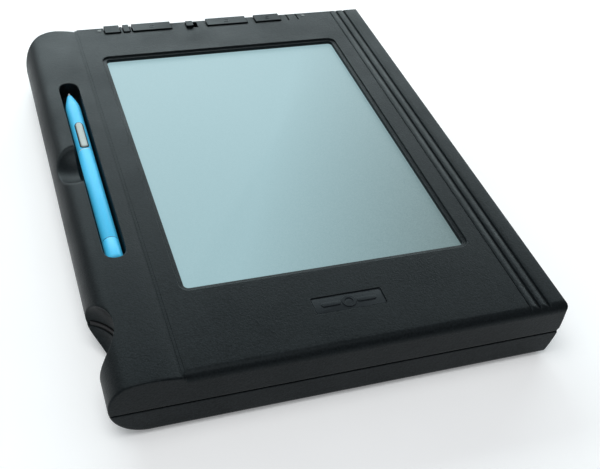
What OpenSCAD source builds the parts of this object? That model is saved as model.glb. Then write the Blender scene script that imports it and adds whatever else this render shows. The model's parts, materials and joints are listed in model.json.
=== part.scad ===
// Notebook-size pen tablet. Two moulded shells meet at a parting line. The left edge is a
// D-shaped grip with a pen well, a thumb dimple and a finger scoop. The deck holds the
// display window, an emblem plate and three ribs, and the rear edge holds keys and port doors.
// X runs from the grip to the ribs, Y from front to rear, Z up from the table.

/* [Case] */
// Width of the case, from the grip to the ribbed side
body_w = 230; // [224:1:276]
// Length of the case, from front to rear
body_l = 300; // [280:1:360]
// Height of the flat deck above the table
deck_z = 34.7; // [33.8:0.1:38]
// Height of the parting line above the table
part_z = 17; // [16:0.1:18]
// Wall thickness of both shells
wall = 2.4; // [2:0.1:2.8]
// Height of the rubber feet
foot_h = 1.2; // [0.8:0.1:2]
// Width of the reveal groove at the parting line
reveal = 0.7; // [0.3:0.1:1]
// Radius along the front edge of the deck
front_r = 4.5; // [2:0.1:6]
// Radius along the rear edge of the deck
rear_r = 1.6; // [1:0.1:2]
// Plan radius of the rear corner on the grip side
grip_corner_r = 22; // [14:0.5:26]
// Plan radius of the other three corners
corner_r = 4; // [2:0.5:8]

/* [Grip] */
// Width of the grip, from its outer side to the ridge
grip_w = 33.25; // [32:0.25:36]
// Radius of the gentle crown on top of the grip
crown_r = 60; // [50:1:90]
// Lean of the crown where it meets the shoulder, in degrees
crown_lean = 6.54; // [5:0.01:8]
// Radius of the shoulder at the upper outer side
shoulder_r = 14; // [13:0.5:16]
// Radius of the belly at the lower outer side
belly_r = 20.3; // [19:0.1:21]
// Width of the sloping face of the ridge
ridge_run = 0.9; // [0.4:0.1:1.5]
// Radius of the finger scoop in the grip
scoop_r = 20.5; // [18:0.5:22]
// How far the scoop's centre stands outside the case
scoop_out = 6; // [5:0.5:9]
// Distance from the front face to the scoop's centre
scoop_front = 39.5; // [34:0.5:60]
// Height of the upper scoop's centre above the parting line
scoop_rise = 5; // [0:0.5:7]
// Step from the upper scoop in to the lower one
scoop_lip = 1.6; // [0.8:0.1:2.4]
// Radius of the thumb dimple beside the pen
dimple_r = 20; // [16:0.5:22]
// Height of the dimple's centre above the deck
dimple_rise = 13.3; // [12:0.1:16]

/* [Deck] */
// Width of the deck between the ridge and the window
left_border = 14; // [12:0.25:18]
// Width of the deck from the window to the ribbed side
right_border = 32.75; // [31:0.25:40]
// Length of the deck in front of the window
front_border = 54.75; // [50:0.25:64]
// Length of the deck behind the window
rear_border = 38.25; // [36:0.25:46]
// Width of the stepped border round the window
bezel_w = 2.75; // [1.5:0.25:4]
// Depth of the stepped border
bezel_d = 0.9; // [0.5:0.1:1.2]
// Corner radius of the window
window_r = 2.5; // [1:0.1:5]
// Distance from the ribbed side to the first groove
rib_in = 20.55; // [18:0.05:24]
// Pitch of the grooves
rib_pitch = 5.4; // [4:0.1:6]
// Number of grooves
rib_count = 3; // [1:1:3]
// Depth of the grooves
rib_d = 1.1; // [0.5:0.1:1.4]
// Width of the emblem plate
badge_w = 37; // [24:0.5:44]
// Length of the emblem plate, front to rear
badge_l = 11; // [8:0.5:13]
// Distance from the front face to the emblem's centre
badge_front = 28.25; // [22:0.25:34]
// Depth of the emblem's recess
badge_d = 0.9; // [0.5:0.1:1.2]

/* [Pen] */
// Length of the pen from its tail to its nib
pen_len = 150; // [130:1:156]
// Outer radius of the pen
pen_r = 4.25; // [3.8:0.05:4.5]
// Width of the pen well
well_w = 12.2; // [11:0.1:13]
// Length of the pen well
well_l = 156.5; // [150:0.5:180]
// Distance from the ridge to the middle of the well
well_in = 13.65; // [13:0.05:15]
// Distance from the rear face to the middle of the well
well_rear = 141; // [120:1:160]
// Depth of the pen's top below the top of the grip
pen_drop = 0.95; // [0.5:0.05:2]
// Bore radius of the pen's barrel
pen_bore = 3.2; // [2.8:0.1:3.4]
// Length of the pen's tail cap
cap_l = 14.5; // [10:0.5:20]
// Length of the pen's grip section, from its seam to the start of the nib
grip_l = 57; // [48:0.5:60]
// Length of the taper in front of the grip section
taper_l = 13; // [8:0.5:16]
// Length of the bare nib
nib_l = 3.5; // [2:0.5:6]
// Length of the pen's side button
pen_key_l = 23; // [12:0.5:26]
// Width of the pen's side button
pen_key_w = 3.8; // [2.5:0.1:4]

/* [Rear controls] */
// Reach of the keys and doors over the deck, from the rear face
control_l = 8.5; // [7:0.1:9]
// Height of the keys and doors above the deck
control_proud = 0.8; // [0.4:0.1:1]
// Travel of the keys
key_travel = 0.8; // [0.4:0.1:1]
// Width of the wide key
key_wide_w = 27.5; // [20:0.5:28]
// Width of the middle key
key_mid_w = 17.7; // [12:0.1:18]
// Width of the small key
key_small_w = 4; // [3:0.1:4]
// Width of the wide port door
door_wide_w = 25.6; // [18:0.1:25.6]
// Width of the small port door
door_small_w = 9.7; // [7:0.1:10]
// Height of the port doors on the rear face
door_h = 15.4; // [12:0.1:15.5]
// Width of the slide switch knob
slide_w = 4.6; // [3:0.1:5]
// Travel of the slide switch
slide_travel = 3; // [2:0.1:4]
// Height of the slide switch knob above the deck
slide_proud = 1.6; // [1:0.1:2]
// Radius of the status lights
light_r = 1.2; // [0.8:0.1:1.4]

/* [Inside] */
// Radius of the battery cells with their sleeve
cell_r = 8.9; // [7:0.1:9]
// Length of one battery cell
cell_l = 66; // [50:0.5:67]
// Thickness of the battery door
hatch_t = 1.3; // [1:0.1:1.4]
// Width of the battery door
hatch_w = 23; // [22:0.5:24]
// Thickness of the digitizer glass
glass_t = 2; // [1.5:0.1:2.2]
// Thickness of the display panel
panel_t = 3.2; // [2.5:0.1:3.5]
// Overlap of the glass behind the window's edge
glass_lap = 4; // [3:0.25:5]
// Thickness of the circuit boards
board_t = 1.6; // [1:0.1:2]
// Width of the hard drive
drive_w = 100; // [100:1:102]
// Length of the hard drive, front to rear
drive_l = 70; // [68:1:70]
// Height of the hard drive
drive_h = 12.5; // [9:0.5:12.7]
// Radius of the screw shanks
screw_r = 1.5; // [1.2:0.1:1.6]
// Radius of the screw heads
head_r = 2.9; // [2.4:0.1:3]
// Radius of the screw bosses
boss_r = 4.2; // [3.8:0.1:4.5]

/* [Fits] */
// Gap round the keys, doors and slides
clearance = 0.3; // [0.3:0.05:0.4]
// Radial gap of a hinge pin in its barrel
pin_fit = 0.05; // [0.02:0.01:0.1]

/* [Hidden] */
$fn = 48;

left_x = -body_w / 2;
right_x = body_w / 2;
front_y = -body_l / 2;
rear_y = body_l / 2;
over = 1;

// Heights that the shells share
floor_z = foot_h + wall;
ceiling_z = deck_z - wall;

// Grip section: shoulder and belly circles touch at the outer side, and the crown circle
// touches the shoulder circle where its slope equals crown_lean
belly_z = foot_h + belly_r;
shoulder_x = left_x + shoulder_r;
belly_x = left_x + belly_r;
crown_x = shoulder_x + (crown_r - shoulder_r) * sin(crown_lean);
crown_z = belly_z - (crown_r - shoulder_r) * cos(crown_lean);
crown_top = crown_z + crown_r;
ridge_x = left_x + grip_w;

// Ribbed side leans in below this height
lean_top_z = 28;
lean_mid = 1.4;
lean_low = 5.4;
side_edge = 1;
under_r = 3;

// Window
window_w = body_w - grip_w - left_border - right_border;
window_l = body_l - front_border - rear_border;
window_x = ridge_x + left_border + window_w / 2;
window_y = front_y + front_border + window_l / 2;

// Ribs
rib_x = right_x - rib_in;
rib_rise = 0.5;
rib_drop = 0.3;

// Scoop and dimple
scoop_x = left_x - scoop_out;
scoop_y = front_y + scoop_front;
scoop_gap = 2;
scoop_gap_in = 0.6;
well_x = ridge_x - well_in;
well_y = rear_y - well_rear;
dimple_x = well_x - 9.6;
dimple_z = deck_z + dimple_rise;

// Pen
pen_z = crown_top - pen_drop - pen_r;
pen_clear = 0.35;
pen_nose = well_y - pen_len / 2 - 1 + pen_len;
pen_tail = pen_nose - pen_len;
pen_taper_y = pen_nose - nib_l - taper_l;
pen_seam_y = pen_nose - nib_l - grip_l;
pen_cap_y = pen_tail + cap_l;
seam_w = 0.5;
seam_in = 0.2;
pen_nib_r = 1.5;
nib_r = 0.8;
nib_point = 1;
plug_r = 1;
plug_l = 3;
pen_key_gap = 0.8;
pen_key_proud = 0.25;
pen_key_t = 2.6;
pen_key_y = pen_seam_y + seam_w + pen_key_gap + pen_key_l / 2;
pen_key_top = pen_z + pen_r + pen_key_proud;
well_floor = pen_z - pen_r - pen_clear;

// Rear controls, placed from the window's middle
control_y = rear_y - control_l;
control_top = deck_z + control_proud;
wide_key_x = window_x + 11.75;
middle_key_x = window_x + 40.45;
small_key_x = window_x - 55.85;
slide_x = window_x - 13.95;
wide_door_x = window_x - 39.1;
small_door_x = window_x - 65.1;
vent_x = [window_x + 55, window_x + 61.75];
vent_w = 1;
light_x = [window_x - 73.25, window_x + 66.5];
light_y = rear_y - 4.2;
key_low = ceiling_z - 2.3;
key_flange = 1;
switch_h = 3.2;
key_board_t = 1.2;
key_board_z = key_low - key_travel - clearance - 0.2 - switch_h - key_board_t;
flange_t = 1.6;
key_rear = rear_y - wall - 0.6;
slide_flange_in = 0.6;
door_t = 1.8;
door_z = control_top - door_h;
hinge_r = 1.1;
hinge_pin_r = 0.6;
hinge_y = rear_y - hinge_r;
hinge_z = door_z + hinge_r;
pin_reach = 1.6;
doors = [[wide_door_x, door_wide_w], [small_door_x, door_small_w]];
keys = [[wide_key_x, key_wide_w], [middle_key_x, key_mid_w], [small_key_x, key_small_w]];

// Display stack, from the window down
gasket_t = 0.5;
glass_z = ceiling_z - gasket_t - glass_t;
panel_z = glass_z - panel_t - 0.2;
panel_lap = 3;
guide_t = 2.8;
guide_z = panel_z - guide_t;
tube_r = 1.2;
frame_z = guide_z - 0.6;
frame_lap = 5.5;
frame_t = 1;
shield_t = 1;
shield_z = frame_z - shield_t;
shield_lap = 8;

// Battery bay in the grip side
cell_count = floor((body_l - 30) / cell_l);
pack_l = cell_count * cell_l;
cell_x = left_x + 26.5;
cell_z = floor_z + cell_r + 0.3;
bay_wall_x = cell_x + cell_r + 0.9;
bay_wall_t = 1.4;
hatch_gap = 1.6;
hatch_front = -pack_l / 2 - 2;
bay_open = 2 * (cell_r + 0.5);

// Boards
inner_x = bay_wall_x + bay_wall_t + 1;
board_z = floor_z + 4.4;
board_front = front_y + 16 + drive_l + 8;
board_rear = rear_y - 15;
screw_x = [inner_x + boss_r, right_x - 11];
screw_front = front_y + 9.5;
screw_rear = rear_y - 12;
screw_mid = (board_front + board_rear) / 2;
case_screw_at = [
    [screw_x[0], screw_front], [(screw_x[0] + screw_x[1]) / 2, screw_front],
    [screw_x[1], screw_front], [screw_x[1], screw_mid],
    [screw_x[0], screw_rear - 6], [screw_x[1], screw_rear]
];
head_z = foot_h + 0.8;
head_t = 1.8;
board_left = inner_x + 2 * boss_r + 1;
board_right = screw_x[1] - boss_r - 1;
board_hole = 4;
board_screw_at = [
    for (x = [board_left + board_hole, board_right - board_hole])
        for (y = [board_front + board_hole, board_rear - board_hole]) [x, y]
];
stud_r = 2.6;
drive_x = board_right - drive_w;
drive_y = front_y + 18;
drive_z = floor_z + 1.4;
power_w = drive_x - board_left - 6;
power_l = drive_l - 4;
power_y = drive_y + 2;
speaker_r = 11;
speaker_h = 5;
feet = [
    for (x = [ridge_x + 12, right_x - 18])
        for (y = [front_y + 20, rear_y - 20]) [x, y]
];
foot_r = 6;
foot_sink = 0.6;

// Points on an arc about [cx, cy], from angle a0 to angle a1
function arc(cx, cy, r, a0, a1, n) =
    [for (i = [0:n]) let (a = a0 + (a1 - a0) * i / n) [cx + r * cos(a), cy + r * sin(a)]];

// Rectangle with its own radius at each corner, anticlockwise from the lower left
module round_rect(x0, y0, x1, y1, r) {
    polygon(concat(
        arc(x0 + r[0], y0 + r[0], r[0], 180, 270, 8),
        arc(x1 - r[1], y0 + r[1], r[1], 270, 360, 8),
        arc(x1 - r[2], y1 - r[2], r[2], 0, 90, 8),
        arc(x0 + r[3], y1 - r[3], r[3], 90, 180, 8)
    ));
}

// Draw an X-Z outline along Y, or a Y-Z outline along X
module along_y(y0, y1) {
    translate([0, y1, 0]) rotate([90, 0, 0]) linear_extrude(y1 - y0) children();
}

module along_x(x0, x1) {
    translate([x0, 0, 0]) rotate([90, 0, 90]) linear_extrude(x1 - x0) children();
}

// Box from one corner to the other
module block(a, b) {
    translate(a) cube(b - a);
}

// Plate of length and width about a centre, standing on z
module plate(cx, cy, w, l, z, t) {
    translate([cx - w / 2, cy - l / 2, z]) cube([w, l, t]);
}

// One rib between two grooves: it rises steeply and rolls down towards the next groove
function rib(x, last) = last
    ? [[x + rib_rise, deck_z], [x, deck_z - rib_d]]
    : [for (t = [0:-0.25:-1])
        [x + rib_rise + (rib_pitch - rib_rise) * (1 + t), deck_z - rib_d * pow(1 + t, 3)]];

function ribs() = [
    for (k = [rib_count - 1:-1:0])
        each (k == rib_count - 1
            ? rib(rib_x + k * rib_pitch, true)
            : concat(rib(rib_x + k * rib_pitch, false), [[rib_x + k * rib_pitch, deck_z - rib_d]]))
];

// Cross-section of the case, set in by w from the outside
module case_section(w) {
    r = crown_r - w;
    ridge_a = acos((ridge_x - crown_x) / r);
    grooves = w > 0 ? [] : concat(ribs(), [[rib_x - rib_drop, deck_z]]);
    polygon(concat(
        [[right_x - lean_low - w, foot_h + w]],
        [[right_x - lean_mid - w, part_z], [right_x - w, lean_top_z]],
        [[right_x - w, deck_z - w - side_edge], [right_x - side_edge - w, deck_z - w]],
        grooves,
        [[ridge_x + ridge_run, deck_z - w]],
        arc(crown_x, crown_z, r, ridge_a, 90 + crown_lean, 8),
        arc(shoulder_x, belly_z, shoulder_r - w, 90 + crown_lean + 6, 180, 12),
        arc(belly_x, belly_z, belly_r - w, 188, 270, 10)
    ));
}

// Plan outline of the case, set in by w
module case_plan(w) {
    r = max(corner_r - w, 0.5);
    round_rect(left_x + w - over * (w == 0 ? 1 : 0), front_y + w, right_x - w, rear_y - w,
        [r, r, r, grip_corner_r - w]);
}

// Solid case between two heights, with its front, rear and lower edges rounded
module case_solid(z0, z1) {
    intersection() {
        along_y(front_y, rear_y) case_section(0);
        translate([0, 0, z0]) linear_extrude(z1 - z0) case_plan(0);
        union() {
            along_x(left_x - over, ridge_x + ridge_run)
                round_rect(front_y, foot_h, rear_y, crown_top + over, [under_r, under_r, over, over]);
            along_x(ridge_x + ridge_run, right_x + over)
                round_rect(front_y, foot_h, rear_y, deck_z, [under_r, under_r, rear_r, front_r]);
        }
    }
}

// The same solid set in by w, for the hollow and for the rim
module case_inset(w, z0, z1) {
    intersection() {
        along_y(front_y + w, rear_y - w) case_section(w);
        translate([0, 0, z0]) linear_extrude(z1 - z0) case_plan(w);
    }
}

// Finger scoop, its centre raised by rise above the parting line
module scoop(r, rise) {
    translate([scoop_x, scoop_y, part_z + rise]) sphere(r);
}

module dimple(r) {
    translate([dimple_x, well_y, dimple_z]) sphere(r);
}

// Long slot with round ends, grown by g all round
module well(g, z0, z1) {
    r = well_w / 2 + g;
    reach = well_l / 2 - well_w / 2;
    translate([well_x, well_y, z0]) {
        translate([-r, -reach, 0]) cube([2 * r, 2 * reach, z1 - z0]);
        for (s = [-1, 1]) translate([0, s * reach, 0]) cylinder(r = r, h = z1 - z0);
    }
}

module window(g, z0, z1) {
    w = window_w / 2 + g;
    l = window_l / 2 + g;
    r = window_r + g;
    translate([0, 0, z0]) linear_extrude(z1 - z0)
        round_rect(window_x - w, window_y - l, window_x + w, window_y + l, [r, r, r, r]);
}

// Opening for a rear control of width w, from the control's front edge to y1
module control_notch(x, w, z0, y1) {
    block([x - w / 2 - clearance, control_y - clearance, z0],
        [x + w / 2 + clearance, y1, crown_top + 2 * over]);
}

module top_shell() {
    color([0.17, 0.17, 0.18]) difference() {
        union() {
            difference() {
                case_solid(part_z, crown_top + over);
                difference() {
                    case_inset(wall, part_z - over, crown_top);
                    scoop(scoop_r + wall, scoop_rise);
                    dimple(dimple_r + wall);
                    well(wall * 0.75, well_floor - wall * 0.75, crown_top);
                }
            }
            for (p = case_screw_at)
                translate([p[0], p[1], part_z]) cylinder(r = boss_r, h = ceiling_z - part_z + 0.2);
        }
        scoop(scoop_r, scoop_rise);
        translate([scoop_x, scoop_y, part_z - over])
            cylinder(r = scoop_r + scoop_gap_in, h = scoop_gap + over);
        dimple(dimple_r);
        well(0, well_floor, crown_top + over);
        window(bezel_w, deck_z - bezel_d, deck_z + over);
        window(0, ceiling_z - over, deck_z);
        plate(window_x, front_y + badge_front, badge_w, badge_l, deck_z - badge_d, over + badge_d);
        for (k = keys) control_notch(k[0], k[1], key_low - key_travel - clearance, rear_y + over);
        for (d = doors) control_notch(d[0], d[1], door_z - clearance, rear_y + over);
        for (d = doors)
            along_x(d[0] - d[1] / 2 - pin_reach, d[0] + d[1] / 2 + pin_reach)
                translate([hinge_y, hinge_z]) circle(hinge_pin_r);
        control_notch(slide_x + slide_travel / 2, slide_w + slide_travel, key_low - clearance, rear_y - wall);
        for (x = vent_x)
            block([x - vent_w / 2, control_y, deck_z - 1], [x + vent_w / 2, rear_y + over, deck_z + over]);
        for (x = light_x) translate([x, light_y, ceiling_z - over]) cylinder(r = light_r, h = 2 * wall);
        for (p = case_screw_at)
            translate([p[0], p[1], part_z - over]) cylinder(r = screw_r, h = 11 + over);
    }
}

module bottom_shell() {
    color([0.15, 0.15, 0.16]) difference() {
        union() {
            difference() {
                case_solid(foot_h - over, part_z);
                difference() {
                    case_inset(wall, floor_z, part_z + over);
                    scoop(scoop_r - scoop_lip + wall, 0);
                }
                // Reveal groove round the rim
                difference() {
                    block([left_x - over, front_y - over, part_z - reveal],
                        [right_x + over, rear_y + over, part_z + over]);
                    case_inset(wall / 2, part_z - 3 * over, part_z + 3 * over);
                    scoop(scoop_r + wall, 0);
                }
            }
            for (p = case_screw_at)
                translate([p[0], p[1], foot_h + 0.2]) cylinder(r = boss_r, h = part_z - foot_h - 0.2);
            for (p = board_screw_at)
                translate([p[0], p[1], floor_z - 0.2]) cylinder(r = stud_r, h = board_z - floor_z + 0.2);
            block([bay_wall_x, -pack_l / 2 - 4, floor_z - 0.2],
                [bay_wall_x + bay_wall_t, pack_l / 2 + 4, part_z - 2]);
        }
        scoop(scoop_r - scoop_lip, 0);
        // Battery opening, and the track that its door slides in
        block([cell_x - bay_open / 2, -pack_l / 2 - 0.5, 0], [cell_x + bay_open / 2, pack_l / 2 + 0.5, floor_z + 0.1]);
        block([cell_x - hatch_w / 2 - clearance, hatch_front - clearance, 0],
            [cell_x + hatch_w / 2 + clearance, rear_y + over, foot_h + hatch_gap]);
        for (p = case_screw_at) {
            translate([p[0], p[1], 0]) cylinder(r = screw_r, h = part_z + over);
            translate([p[0], p[1], 0]) cylinder(r = head_r + 0.2, h = head_z + head_t);
        }
        for (p = board_screw_at)
            translate([p[0], p[1], floor_z + 0.6]) cylinder(r = screw_r * 0.7, h = board_z);
        for (f = feet) translate([f[0], f[1], 0]) cylinder(r = foot_r, h = foot_h + foot_sink);
    }
}

module window_gasket() {
    color([0.05, 0.05, 0.06]) difference() {
        window(glass_lap, ceiling_z - gasket_t, ceiling_z);
        window(0, ceiling_z - over, ceiling_z + over);
    }
}

module digitizer_glass() {
    color([0.6, 0.75, 0.78]) window(glass_lap, glass_z, glass_z + glass_t);
}

module display_panel() {
    color([0.55, 0.7, 0.72]) window(panel_lap, panel_z, panel_z + panel_t);
}

module light_guide() {
    color([0.9, 0.93, 0.95])
        plate(window_x, window_y, window_w + 2, window_l - 2, guide_z, guide_t);
}

module backlight_tubes() {
    color([0.95, 0.95, 0.9]) for (s = [-1, 1])
        translate([window_x - window_w / 2, window_y + s * (window_l / 2 + tube_r), guide_z + guide_t / 2])
            rotate([0, 90, 0]) cylinder(r = tube_r, h = window_w);
}

module display_frame() {
    top = panel_z + panel_t - frame_z;
    color([0.7, 0.71, 0.72]) difference() {
        plate(window_x, window_y, window_w + 2 * frame_lap, window_l + 2 * frame_lap, frame_z, top);
        plate(window_x, window_y, window_w + 2 * (frame_lap - frame_t) - 2,
            window_l + 2 * (frame_lap - frame_t) - 2, frame_z + 0.6, top);
    }
}

module shield_plate() {
    color([0.75, 0.76, 0.78]) difference() {
        union() {
            plate(window_x, window_y, window_w + 2 * shield_lap, window_l + 2 * shield_lap, shield_z, shield_t);
            for (s = [-1, 1])
                plate(window_x, window_y + s * (window_l / 2 + shield_lap - 0.5), window_w / 2, 1,
                    shield_z, shield_t + 5);
        }
        for (i = [-2:2])
            plate(window_x + i * window_w / 6, window_y, 14, window_l / 3, shield_z - over, shield_t + 2 * over);
    }
}

module inverter_board() {
    color([0.1, 0.35, 0.2])
        plate(window_x + 8, screw_front + 20, window_w * 0.72, 13, shield_z, board_t);
}

module inverter_parts() {
    z = shield_z + board_t;
    color([0.75, 0.65, 0.3]) for (i = [-1, 1])
        plate(window_x + 8 + i * window_w / 4, screw_front + 20, 18, 10, z, 5.5);
    color([0.15, 0.15, 0.15]) for (i = [-1:1])
        plate(window_x + 8 + i * 12, screw_front + 20, 7, 7, z, 2.5);
}

module main_board() {
    cx = (board_left + board_right) / 2;
    color([0.1, 0.4, 0.22]) difference() {
        plate(cx, (board_front + board_rear) / 2, board_right - board_left, board_rear - board_front,
            board_z, board_t);
        for (p = board_screw_at) translate([p[0], p[1], board_z - over])
            cylinder(r = screw_r + 0.2, h = board_t + 2 * over);
    }
}

module board_chips() {
    z = board_z + board_t;
    cx = (board_left + board_right) / 2;
    color([0.12, 0.12, 0.13]) {
        plate(cx, board_front + 62, 28, 28, z, 3);
        for (i = [0:3]) for (x = [44, 60])
            plate(cx + x, board_front + 34 + i * 20, 10, 16, z, 1.6);
        plate(cx - 48, board_front + 40, 24, 24, z, 2.6);
        plate(cx - 48, board_front + 76, 20, 14, z, 2.2);
        for (i = [0:4]) plate(cx - 60 + i * 12, board_front + 16, 6, 9, z, 2);
    }
}

module heat_spreader() {
    color([0.8, 0.8, 0.82])
        plate((board_left + board_right) / 2, board_front + 62, 40, 36, board_z + board_t + 3, 1.5);
}

module memory_socket() {
    cx = (board_left + board_right) / 2;
    color([0.85, 0.82, 0.72])
        plate(cx - 4, board_front + 104, 66, 6, board_z + board_t, 4);
}

module memory_module() {
    cx = (board_left + board_right) / 2;
    color([0.1, 0.42, 0.25])
        plate(cx - 4, board_front + 120, 62, 26, board_z + board_t + 1.6, 1.2);
}

module hard_drive() {
    color([0.62, 0.63, 0.65])
        block([drive_x, drive_y, drive_z], [drive_x + drive_w, drive_y + drive_l, drive_z + drive_h]);
}

module drive_tray() {
    t = 1.2;
    color([0.78, 0.79, 0.8]) {
        block([drive_x - t, drive_y, drive_z - t], [drive_x + drive_w + t, drive_y + drive_l, drive_z]);
        for (x = [drive_x - t, drive_x + drive_w])
            block([x, drive_y, drive_z - t], [x + t, drive_y + drive_l, drive_z + 7]);
    }
}

module power_board() {
    color([0.12, 0.38, 0.22])
        block([board_left, power_y, floor_z + 3], [board_left + power_w, power_y + power_l, floor_z + 3 + board_t]);
}

module power_parts() {
    z = floor_z + 3 + board_t;
    cx = board_left + power_w / 2;
    color([0.2, 0.2, 0.5]) for (i = [0:2])
        translate([cx - power_w / 4 + i * power_w / 4, power_y + 12, z]) cylinder(r = 4, h = 10);
    color([0.55, 0.35, 0.15]) for (i = [-1, 1])
        translate([cx + i * power_w / 5, power_y + 32, z]) cylinder(r = 6, h = 7);
}

module backup_cell() {
    color([0.8, 0.8, 0.8]) translate([board_left + power_w / 2, power_y + power_l - 12, floor_z + 3 + board_t])
        cylinder(r = 10, h = 3.2);
}

module battery_pack() {
    color([0.25, 0.35, 0.6]) for (i = [0:cell_count - 1])
        translate([cell_x, -pack_l / 2 + i * cell_l, cell_z]) rotate([-90, 0, 0]) {
            cylinder(r = cell_r, h = cell_l - 1.4);
            cylinder(r = 3, h = cell_l);
        }
}

module battery_contacts() {
    color([0.85, 0.75, 0.45]) for (s = [-1, 1])
        plate(cell_x, s * (pack_l / 2 + 0.5), 10, 1, cell_z - 4, 10);
}

module battery_door() {
    color([0.15, 0.15, 0.16]) difference() {
        intersection() {
            case_solid(foot_h - over, part_z);
            block([cell_x - hatch_w / 2, hatch_front, 0], [cell_x + hatch_w / 2, rear_y + over, foot_h + hatch_t]);
        }
        for (i = [0:4])
            plate(cell_x, rear_y - 40 - i * 3, hatch_w * 0.55, 1, 0, foot_h + 0.5);
    }
}

module speaker() {
    color([0.3, 0.3, 0.32])
        translate([board_left + speaker_r + 1, front_y + wall + speaker_r + 3, ceiling_z - speaker_h - 2])
            cylinder(r = speaker_r, h = speaker_h);
}

module key_boards() {
    color([0.1, 0.38, 0.2]) {
        block([slide_x - 4, control_y + 1, key_board_z],
            [middle_key_x + key_mid_w / 2, rear_y - wall - 0.5, key_board_z + key_board_t]);
        block([small_key_x - 3, control_y + 1, key_board_z],
            [small_key_x + 3, rear_y - wall - 0.5, key_board_z + key_board_t]);
    }
}

module key_switches() {
    color([0.7, 0.7, 0.7]) for (k = keys)
        plate(k[0], control_y + 4, 3.8, 3.8, key_board_z + key_board_t, switch_h);
}

// Key cap with a hidden flange that keeps it in the shell
module key_cap(x, w) {
    color([0.2, 0.2, 0.21]) {
        block([x - w / 2, control_y, key_low], [x + w / 2, rear_y, control_top]);
        block([x - w / 2 - key_flange, control_y - key_flange, key_low],
            [x + w / 2 + key_flange, key_rear, key_low + flange_t]);
    }
}

module wide_key() {
    key_cap(wide_key_x, key_wide_w);
}

module middle_key() {
    key_cap(middle_key_x, key_mid_w);
}

module small_key() {
    key_cap(small_key_x, key_small_w);
}

// Switch knob with a hidden flange that covers its slot at both ends of the travel
module power_slide() {
    half = slide_w / 2;
    color([0.2, 0.2, 0.21]) {
        block([slide_x - half, control_y, key_low],
            [slide_x + half, rear_y - wall - clearance, deck_z + slide_proud]);
        block([slide_x - half - slide_travel - key_flange, control_y - key_flange, key_low],
            [slide_x + half + slide_travel + slide_flange_in, key_rear, key_low + flange_t]);
    }
}

// L-shaped door over the rear top edge, with a hinge barrel along its lower edge
module port_door(x, w) {
    color([0.19, 0.19, 0.2]) difference() {
        union() {
            block([x - w / 2, control_y, control_top - door_t], [x + w / 2, rear_y, control_top]);
            block([x - w / 2, rear_y - door_t, hinge_z], [x + w / 2, rear_y, control_top]);
            along_x(x - w / 2, x + w / 2) translate([hinge_y, hinge_z]) circle(hinge_r);
        }
        along_x(x - w / 2 - over, x + w / 2 + over)
            translate([hinge_y, hinge_z]) circle(hinge_pin_r + pin_fit);
    }
}

module wide_port_door() {
    port_door(wide_door_x, door_wide_w);
}

module small_port_door() {
    port_door(small_door_x, door_small_w);
}

module door_pins() {
    color([0.75, 0.75, 0.76]) for (d = doors)
        along_x(d[0] - d[1] / 2 - pin_reach, d[0] + d[1] / 2 + pin_reach)
            translate([hinge_y, hinge_z]) circle(hinge_pin_r);
}

module port_board() {
    color([0.1, 0.38, 0.2])
        block([small_door_x - 7, rear_y - 14, door_z - 1.2],
            [wide_door_x + door_wide_w / 2 + 3, rear_y - 4.5, door_z]);
}

module port_connectors() {
    color([0.7, 0.71, 0.73]) {
        plate(wide_door_x, rear_y - 8.5, door_wide_w - 5, 7, door_z, 9);
        plate(small_door_x, rear_y - 8.5, door_small_w - 3, 7, door_z, 7);
    }
}

module status_lights() {
    color([0.3, 0.1, 0.08]) for (x = light_x)
        translate([x, light_y, ceiling_z - 0.6]) cylinder(r = light_r, h = wall + 0.8);
}

// Plate with a plain raised ring between two bars
module emblem_plate() {
    y = front_y + badge_front;
    z = deck_z - badge_d;
    mark_h = badge_d - 0.1;
    ring_r = badge_l * 0.33;
    hole_r = badge_l * 0.2;
    bar_w = badge_w * 0.28;
    bar_l = 1.6;
    bar_x = badge_w * 0.29;
    color([0.13, 0.13, 0.14]) {
        plate(window_x, y, badge_w - 2 * clearance, badge_l - 2 * clearance, z, badge_d - 0.4);
        translate([window_x, y, z]) difference() {
            cylinder(r = ring_r, h = mark_h);
            translate([0, 0, -over]) cylinder(r = hole_r, h = 3 * over);
        }
        for (s = [-1, 1]) plate(window_x + s * bar_x, y, bar_w, bar_l, z, mark_h);
    }
}

// Solid or ring turned about the pen's axis, from y0 to y1
module turned(y0, y1, r0, r1) {
    translate([well_x, y0, pen_z]) rotate([-90, 0, 0]) cylinder(r1 = r0, r2 = r1, h = y1 - y0);
}

// Oblong along the pen at the side button's place
module pen_oblong(g, z0, z1) {
    r = pen_key_w / 2 + g;
    reach = pen_key_l / 2 - pen_key_w / 2;
    translate([well_x, pen_key_y, z0]) {
        translate([-r, -reach, 0]) cube([2 * r, 2 * reach, z1 - z0]);
        for (s = [-1, 1]) translate([0, s * reach, 0]) cylinder(r = r, h = z1 - z0);
    }
}

module pen_grip() {
    color([0.2, 0.66, 0.86]) difference() {
        union() {
            turned(pen_seam_y + seam_w, pen_taper_y, pen_r, pen_r);
            turned(pen_taper_y, pen_nose - nib_l, pen_r, pen_nib_r);
        }
        turned(pen_seam_y - over, pen_taper_y, pen_bore, pen_bore);
        turned(pen_taper_y - over, pen_nose, nib_r, nib_r);
        pen_oblong(clearance, pen_z, pen_z + 2 * pen_r);
    }
}

module pen_barrel() {
    color([0.2, 0.66, 0.86]) difference() {
        turned(pen_cap_y + seam_w, pen_seam_y, pen_r, pen_r);
        turned(pen_cap_y, pen_seam_y + over, pen_bore, pen_bore);
    }
}

module pen_seam_ring() {
    color([0.75, 0.85, 0.9]) difference() {
        turned(pen_seam_y, pen_seam_y + seam_w, pen_r - seam_in, pen_r - seam_in);
        turned(pen_seam_y - over, pen_seam_y + over, pen_bore, pen_bore);
    }
}

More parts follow.
